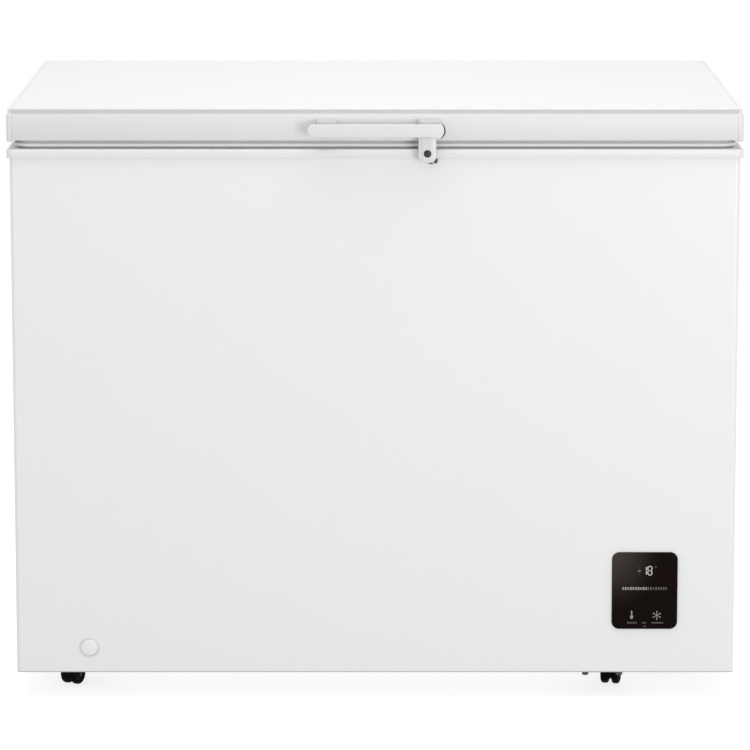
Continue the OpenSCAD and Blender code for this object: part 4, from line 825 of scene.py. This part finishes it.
def lid_shell():
    """The enamelled sheet of the lid, with its set-back top band and hemmed foot."""
    lo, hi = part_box("lid_skin")
    y = hi[1]
    z0, z1 = lo[2], hi[2]
    sheet, hem = 1.0 * MM, 12 * MM
    front_half = [(-y + inset, z) for inset, z in lid_edge(z0, z1, sheet)]
    back_half = [(-a, z) for a, z in reversed(front_half)]
    foot = [(y - hem, z0), (y - hem, z0 + sheet), (-y + hem, z0 + sheet), (-y + hem, z0)]
    middle = (z0 + z1) / 2
    rows = []
    for x, shrink in ((lo[0], 0.35 * MM), (lo[0] + 0.1 * MM, 0.1 * MM), (lo[0] + 0.4 * MM, 0.0),
                      (0.0, 0.0), (hi[0] - 0.4 * MM, 0.0), (hi[0] - 0.1 * MM, 0.1 * MM), (hi[0], 0.35 * MM)):
        rows.append([(x, a - math.copysign(shrink, a), b - math.copysign(shrink, b - middle))
                     for a, b in front_half + back_half + foot])
    shape = bmesh.new()
    skin(shape, rows)
    finished("lid_sheet", shape, LID_ENAMEL, "lid", 28.0, ("lid_skin",))


def lid_band():
    """The smooth grey strip that lines the set-back band along the lid's front and back; its grey is painted
    shade in the set-back.
    """
    lo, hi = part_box("lid_skin")
    y, z1 = hi[1], hi[2]
    for side, name in ((-1, "lid_band_front"), (1, "lid_band_back")):
        inner = [(y - BAND_IN - 0.95 * MM, z1 - BAND + 0.05 * MM), (y - BAND_IN - 0.42 * MM, z1 - BAND / 2),
                 (y - BAND_IN + 0.02 * MM, z1 - 2.9 * MM)]
        outer = [(a + 0.1 * MM, b) for a, b in reversed(inner)]
        deep = [(a - 0.5 * MM, b) for a, b in inner]
        section = [(side * a, b) for a, b in outer + deep]
        shape = bmesh.new()
        skin(shape, [[(x, a, b) for a, b in section] for x in (lo[0] + 0.6 * MM, hi[0] - 0.6 * MM)])
        finished(name, shape, BAND_SHADE_PLASTIC, "lid")


def lid_end_cap(side, name, node):
    """A moulded end cap: the lid's edge carried round the corner."""
    lo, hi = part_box(node)
    x_out = max(abs(lo[0]), abs(hi[0]))
    x_in = min(abs(lo[0]), abs(hi[0]))
    y = hi[1]
    rows = []
    for inset, z in lid_edge(lo[2], hi[2], 0.9 * MM):
        r = max(5.0 * MM - inset, 1.2 * MM)
        row = [(x_in, -(y - inset))]
        for start, sy in ((-90, -1), (0, 1)):
            row += arc(x_out - inset - r, sy * (y - inset - r), r, start, start + 90, 8)
        row.append((x_in, y - inset))
        rows.append([(side * a, b, z) for a, b in row])
    shape = bmesh.new()
    skin(shape, rows)
    finished(name, shape, CAP_PLASTIC, "lid", 28.0, (node,))


# --------------------------------------------------------------- handle and lock

def handle():
    """Bar handle: a boat-shaped bar on two feet, with the lock's flap hanging under its right end."""
    lo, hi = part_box("handle")
    left, bar_front = lo[0], lo[1]
    bar_z = hi[2] - 16.4 * MM
    knob_x, knob_z = left + 176.2 * MM, bar_z + 0.4 * MM
    half = 9.2 * MM
    knob = 13.6 * MM
    top_bend = 10.5 * MM

    def bar_outline(inset):
        """Anticlockwise from the front: rounded left end, underside, round knob, upper side."""
        top, bottom = bar_z + half - inset, bar_z - half + inset
        wide, tall = 8.5 * MM - inset, top_bend - inset
        points = arc(left + inset + wide, top - tall, wide, 90, 180, 8, tall)
        wide, tall = 14.0 * MM - inset, 2 * half - top_bend - inset
        points += arc(left + inset + wide, bottom + tall, wide, 180, 270, 8, tall)
        points.append((knob_x - 8.0 * MM, bottom))
        points += arc(knob_x, knob_z, knob - inset, -62, 42, 16)
        return points + [(knob_x + 4.5 * MM, top), (knob_x - 8.0 * MM, top)]

    bar = bmesh.new()
    levels = sized([(1.4, 0.0), (0.75, 0.1), (0.35, 0.35), (0.1, 0.8), (0.0, 1.4), (1.1, 9.6), (1.5, 11.3),
                    (2.4, 12.0)], 0.0, bar_front)
    skin(bar, [front(bar_outline(inset), y) for inset, y in levels])
    finished("handle_bar", bar, HANDLE_PLASTIC, "lid", 50.0, ("handle",))

    lid_face = -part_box("lid_skin")[1][1]
    feet = bmesh.new()
    for start, stop, below, drop, lean in ((12.0, 41.8, 8.0, 3.0, 1.0), (155.0, 187.2, 12.0, 2.4, 3.0)):
        x0, x1, lean = left + start * MM, left + stop * MM, lean * MM
        z0, z1 = bar_z - below * MM, hi[2] - drop * MM
        rows = []
        for y, grow, out in ((bar_front + 9.0 * MM, -1.6, 0.0), (bar_front + 13.0 * MM, -0.8, 0.25),
                             (lid_face - 5 * MM, 0.0, 0.6), (lid_face - 1.2 * MM, 0.0, 0.9),
                             (lid_face - 0.2 * MM, 0.0, 1.0)):
            w = x1 - x0 + 2 * grow * MM + out * lean
            h = z1 - z0 + 2 * grow * MM
            rows.append(front(round_rect(w, h, 4.2 * MM, 8, (x0 + x1 - out * lean) / 2, (z0 + z1) / 2), y))
        skin(feet, rows)
    # Their grey plastic is painted shadow from the bar.
    finished("handle_feet", feet, FOOT_SHADE_PLASTIC, "lid", 50.0)

    # A near-black crescent round the knob's edge: painted shade in the gap behind the bar's round end.
    crescent = bmesh.new()
    outer, inner = [], []
    for i in range(25):
        t = i / 24
        a = math.radians(-60 + 100 * t)
        swell = 0.4 + 1.7 * math.sin(math.pi * t)
        for points, r in ((outer, knob + swell * MM), (inner, knob - 0.6 * MM)):
            points.append((knob_x + r * math.cos(a), knob_z + r * math.sin(a)))
    skin(crescent, [front(outer + inner[::-1], y) for y in (bar_front + 8.8 * MM, bar_front + 3.4 * MM)])
    finished("handle_end_shade_crescent", crescent, BLACK_RUBBER_AND_SHADE, "lid")
    lock_flap(lo[2], bar_z)


def lock_flap(foot, top):
    """The tongue under the bar, with the lock's bore through it and a raised rim round the bore."""
    lo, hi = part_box("lock_barrel")
    cx, cz = (lo[0] + hi[0]) / 2, (lo[2] + hi[2]) / 2
    face = lo[1] - 1.2 * MM
    w = 25.0 * MM
    bore = 5.35 * MM

    def outline(inset, cut):
        r = 9.5 * MM - inset
        x0, x1 = cx - w / 2 + inset + cut, cx + w / 2 - inset
        points = [(x0, top)] + arc(x0 + r, foot + inset + r, r, 180, 270, 10)
        return points + arc(x1 - r, foot + inset + r, r, 270, 360, 10) + [(x1, top)]

    def bored(levels, cut):
        """Outline rows up to the front, then the lock's bore back through the piece."""
        outer = closer([outline(inset * MM, cut) for inset, depth in levels], 1.2 * MM)
        around = []
        for x, z in outer[0]:
            away = Vector((x - cx, z - cz)).normalized() * bore
            around.append((cx + away[0], cz + away[1]))
        rows = [front(row, face + depth * MM) for row, (inset, depth) in zip(outer, levels)]
        return rows + [front(around, face + depth * MM) for depth in (levels[-1][1], levels[0][1])]

    flap = bmesh.new()
    for cut, levels in ((0.0, ((0.5, 13.2), (0.0, 12.6), (0.0, 2.8), (0.25, 1.9), (0.8, 1.35), (1.6, 1.1))),
                        (3.6 * MM, ((0.8, 1.4), (0.85, 0.7), (1.1, 0.2), (1.5, 0.0)))):
        skin(flap, bored(levels, cut), ring=True)
    finished("lock_flap", flap, HANDLE_PLASTIC, "lid", 45.0)
    rim = bmesh.new()
    profile = sized([(5.34, 0.55), (5.34, -0.12), (5.6, -0.3), (6.0, -0.28), (6.3, 0.05), (6.3, 0.5)])
    turned(rim, profile, (cx, face, cz), "y", 48, ring=True)
    finished("lock_seat_rim", rim, HANDLE_PLASTIC, "lid", 50.0)


def lock_face():
    """The barrel's turned face with a grooved edge and a keyway."""
    lo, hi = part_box("lock_barrel")
    cx, cz = (lo[0] + hi[0]) / 2, (lo[2] + hi[2]) / 2
    r = (hi[0] - lo[0]) / 2
    y0, y1 = lo[1], hi[1]
    shape = bmesh.new()
    profile = sized([(-0.4, 0.0), (-0.03, -0.4)], r, y1)
    profile += sized([(-0.03, 0.5), (-0.3, 0.1), (-0.7, 0.0), (-1.2, 0.05), (-1.35, 0.4), (-1.5, 0.1),
                      (-1.9, 0.02)], r, y0) + [(0.0, y0 + 0.02 * MM)]
    turned(shape, profile, (cx, 0.0, cz), "y", 48)
    finished("lock_cylinder", shape, LOCK_DARK, "lock", 45.0, ("lock_barrel",))
    # The keyway is a flat near-black slot: painted shade for the hole.
    keyway = bmesh.new()
    for w, h, up in ((1.1, 4.6, 0.0), (2.0, 1.7, 1.1)):
        outline = round_rect(w * MM, h * MM, 0.3 * MM, 4, cx, cz + up * MM)
        skin(keyway, [front(outline, y) for y in (y0 + 0.3 * MM, y0 - 0.02 * MM)])
    finished("lock_keyway", keyway, RECESS_SHADE_BLACK, "lock")


def lock_keeper():
    """The catch on the cabinet: a white plate, and a dark catch with a light slanting rib at its right."""
    lo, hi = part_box("lock_keeper")
    back = hi[1]
    face = lo[1] + 3.3 * MM
    foot, top = lo[2], lo[2] + 7.2 * MM
    split = lo[0] + 13.5 * MM
    plate = bmesh.new()
    box_at(plate, (lo[0] + 5.5 * MM, face, foot + 2.5 * MM), (split, back, top))
    box_at(plate, (lo[0], face, top - 1.0 * MM), (lo[0] + 5.6 * MM, face + 1.5 * MM, hi[2]))
    box_at(plate, (lo[0], lo[1], hi[2] - 5.6 * MM), (lo[0] + 5.5 * MM, face + 1.5 * MM, hi[2]))
    finished("keeper_plate", plate, HANDLE_PLASTIC, "cabinet", 30.0, ("lock_keeper",))
    catch = bmesh.new()
    right = hi[0] + 1.7 * MM
    outline = sized([(0.0, 0.6), (0.8, 0.0)], split, foot)
    outline += sized([(-3.4, 0.0), (-0.8, 1.6), (0.0, 3.0)], right, foot) + [(right, top), (split, top)]
    skin(catch, [front(outline, back), front(outline, face + 0.4 * MM)])
    finished("keeper_catch", catch, BLACK_PLASTIC, "cabinet")
    rib = bmesh.new()
    middle = Vector((hi[0] - 5.2 * MM, foot + 3.0 * MM))
    points = tilted(round_rect(8.6 * MM, 1.8 * MM, 0.7 * MM, 4), -45, *middle)
    skin(rib, [front(points, face + 1.0 * MM), front(points, face)])
    finished("keeper_rib", rib, HANDLE_PLASTIC, "cabinet")


# ----------------------------------------------------------------------- hinges

def hinge_springs():
    """Helical springs from the bracket's seat up to the plungers."""
    lo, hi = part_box("hinge_springs")
    cy = (lo[1] + hi[1]) / 2
    mean, thick = 7.0 * MM, 1.3 * MM
    turns, steps = 10, 20
    closed_ends = 0.045
    for side, name in ((-1, "hinge_spring_left"), (1, "hinge_spring_right")):
        cx = side * (abs(hi[0]) - mean - thick)
        z0, z1 = lo[2] + thick, hi[2] - thick
        path = []
        for i in range(turns * steps + 1):
            t = i / (turns * steps)
            ease = t - closed_ends * math.sin(2 * math.pi * t)
            a = 2 * math.pi * turns * t
            path.append((cx + mean * math.cos(a), cy + mean * math.sin(a), z0 + (z1 - z0) * ease))
        shape = bmesh.new()
        wire(shape, path, thick * 0.98, 10)
        bmesh.ops.recalc_face_normals(shape, faces=shape.faces)
        for face in shape.faces:
            face.smooth = True
        piece = as_piece(name, shape, SPRING_STEEL)
        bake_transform(piece)
        if side < 0:
            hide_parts("hinge_springs")


def screw_heads():
    """Crossed recesses in the plain heads of the hinge and rear screws, drawn as flat black crosses that are
    painted shade.
    """
    for node, name, body in (("cabinet_screws", "cabinet_screw_heads", "cabinet"),
                             ("lid_screws", "lid_screw_heads", "lid")):
        corners = [v.co for v in NODES[node].data.vertices]
        heads = []
        for top in sorted(corners, key=lambda p: -p.y):
            if any(abs(top.x - x) < 12 * MM and abs(top.z - z) < 12 * MM for x, z, y in heads):
                continue
            near = [p for p in corners if abs(p.x - top.x) < 9 * MM and abs(p.z - top.z) < 9 * MM]
            x = (min(p.x for p in near) + max(p.x for p in near)) / 2
            z = (min(p.z for p in near) + max(p.z for p in near)) / 2
            heads.append((x, z, top.y))
        shape = bmesh.new()
        for x, z, y in heads:
            for turn in (20, 110):
                points = tilted(round_rect(3.6 * MM, 0.8 * MM, 0.3 * MM, 3), turn, x, z)
                skin(shape, [front(points, y - 0.5 * MM), front(points, y + 0.04 * MM)])
        finished(name, shape, RECESS_SHADE_BLACK, body)


# ---------------------------------------------------------------------- casters

CASTERS = ("front_left", "front_right", "rear_left", "rear_right")


def caster_wheel_pair(where):
    """Twin wheels with a crowned tread, a dished side and a hub cap."""
    joint = [j for j in frame["joints"] if j["child"] == "wheels_" + where][0]
    centre = Vector(joint["pos_m"])
    axis = Vector(joint["axis"]).normalized()
    origin = (0.0, 0.0, 0.0)
    r = centre.z
    inner, outer, shoulder = 2.65 * MM, 13.15 * MM, 3.4 * MM
    edge = arc(r - shoulder, outer - shoulder, shoulder, 90, 0, 7) + [(r, (inner + outer) / 2)]
    edge += arc(r - shoulder, inner + shoulder, shoulder, 0, -90, 7)
    wheel = sized([(0.0, -0.5), (5.0, -0.5), (5.4, -1.5), (10.2, -1.5), (10.9, -0.3)], 0.0, outer)
    wheel += edge + [(4.0 * MM, inner), (0.0, inner)]
    cap = sized([(0.0, -0.6), (4.4, -0.55), (4.3, -0.15), (3.4, 0.0), (0.0, 0.0)], 0.0, outer)
    tread = bmesh.new()
    hubs = bmesh.new()
    for s in (-1, 1):
        turned(tread, [(a, s * b) for a, b in wheel], origin, "z", 56)
        turned(hubs, [(a, s * b) for a, b in cap], origin, "z", 40)
    axle = bmesh.new()
    turned(axle, [(2.45 * MM, -3.0 * MM), (2.45 * MM, 3.0 * MM)], origin, "z", 32)
    turn = Vector((0.0, 0.0, 1.0)).rotation_difference(axis).to_matrix().to_4x4()
    place = Matrix.Translation(centre) @ turn
    body = "wheels_" + where
    for shape, label, material, gone in ((tread, "treads", TREAD_PLASTIC, ("caster_" + body,)),
                                         (hubs, "hubs", HUB_PLASTIC, ()), (axle, "axle", SCREW_STEEL, ())):
        bmesh.ops.transform(shape, matrix=place, verts=shape.verts)
        finished("caster_" + label + "_" + where, shape, material, body, 40.0, gone)


# ---------------------------------------------------------------------- basket

def basket():
    """Bent and welded wires: U-shaped ribs both ways, two hoops and the rim."""
    rlo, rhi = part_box("basket_rim")
    cx = (rlo[0] + rhi[0]) / 2
    w = (rhi[0] - rlo[0]) - 5.0 * MM
    d = (rhi[1] - rlo[1]) - 5.0 * MM
    top = (rlo[2] + rhi[2]) / 2
    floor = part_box("basket_wires")[0][2] + 1.5 * MM
    side, end = w / 2 - 4.1 * MM, d / 2 - 4.1 * MM
    corner, bend, rib = 16 * MM, 7 * MM, 1.48 * MM
    ribs = bmesh.new()
    tip = top + 1.0 * MM
    span = d - 2 * corner - 6 * MM
    for i in range(15):
        y = (i - 7) * span / 14
        path = [(cx - side, y, tip), (cx - side, y, floor + 3.2 * MM), (cx + side, y, floor + 3.2 * MM),
                (cx + side, y, tip)]
        wire(ribs, filleted(path, bend), rib)
    span = w - 2 * corner - 6 * MM
    for i in range(7):
        x = cx + (i - 3) * span / 6
        wire(ribs, filleted([(x, -end, tip), (x, -end, floor), (x, end, floor), (x, end, tip)], bend), rib)
    finished("basket_ribs", ribs, TRIM_PLASTIC, "basket", 60.0, ("basket_wires",))
    hoops = bmesh.new()
    loop = [(cx + x, y) for x, y in round_rect(w, d, corner, 8)]
    count = len(loop)
    round_wire = [2 * math.pi * k / 12 for k in range(12)]
    for z, r in ((floor + 7.6 * MM, 2.0 * MM), ((floor + top) / 2 + 2.0 * MM, 2.0 * MM), (top, 2.48 * MM)):
        rows = []
        for i, (x, y) in enumerate(loop):
            ahead = (Vector(loop[(i + 1) % count]) - Vector(loop[i - 1])).normalized()
            out = Vector((ahead[1], -ahead[0]))
            rows.append([(x + out[0] * r * math.cos(t), y + out[1] * r * math.cos(t), z + r * math.sin(t))
                         for t in round_wire])
        skin(hoops, rows, ring=True)
    gone = ("basket_rim", "basket_hoops")
    finished("basket_hoops", hoops, TRIM_PLASTIC, "basket", 60.0, gone)


set_camera()
set_studio()
white_floor()
lower_hem()
collar()
gasket()
control_panel()
drain_front()
lid_shell()
lid_band()
lid_end_cap(-1, "lid_end_cap_left", "lid_cap_left")
lid_end_cap(1, "lid_end_cap_right", "lid_cap_right")
handle()
lock_face()
lock_keeper()
hinge_springs()
screw_heads()
for caster in CASTERS:
    caster_wheel_pair(caster)
basket()
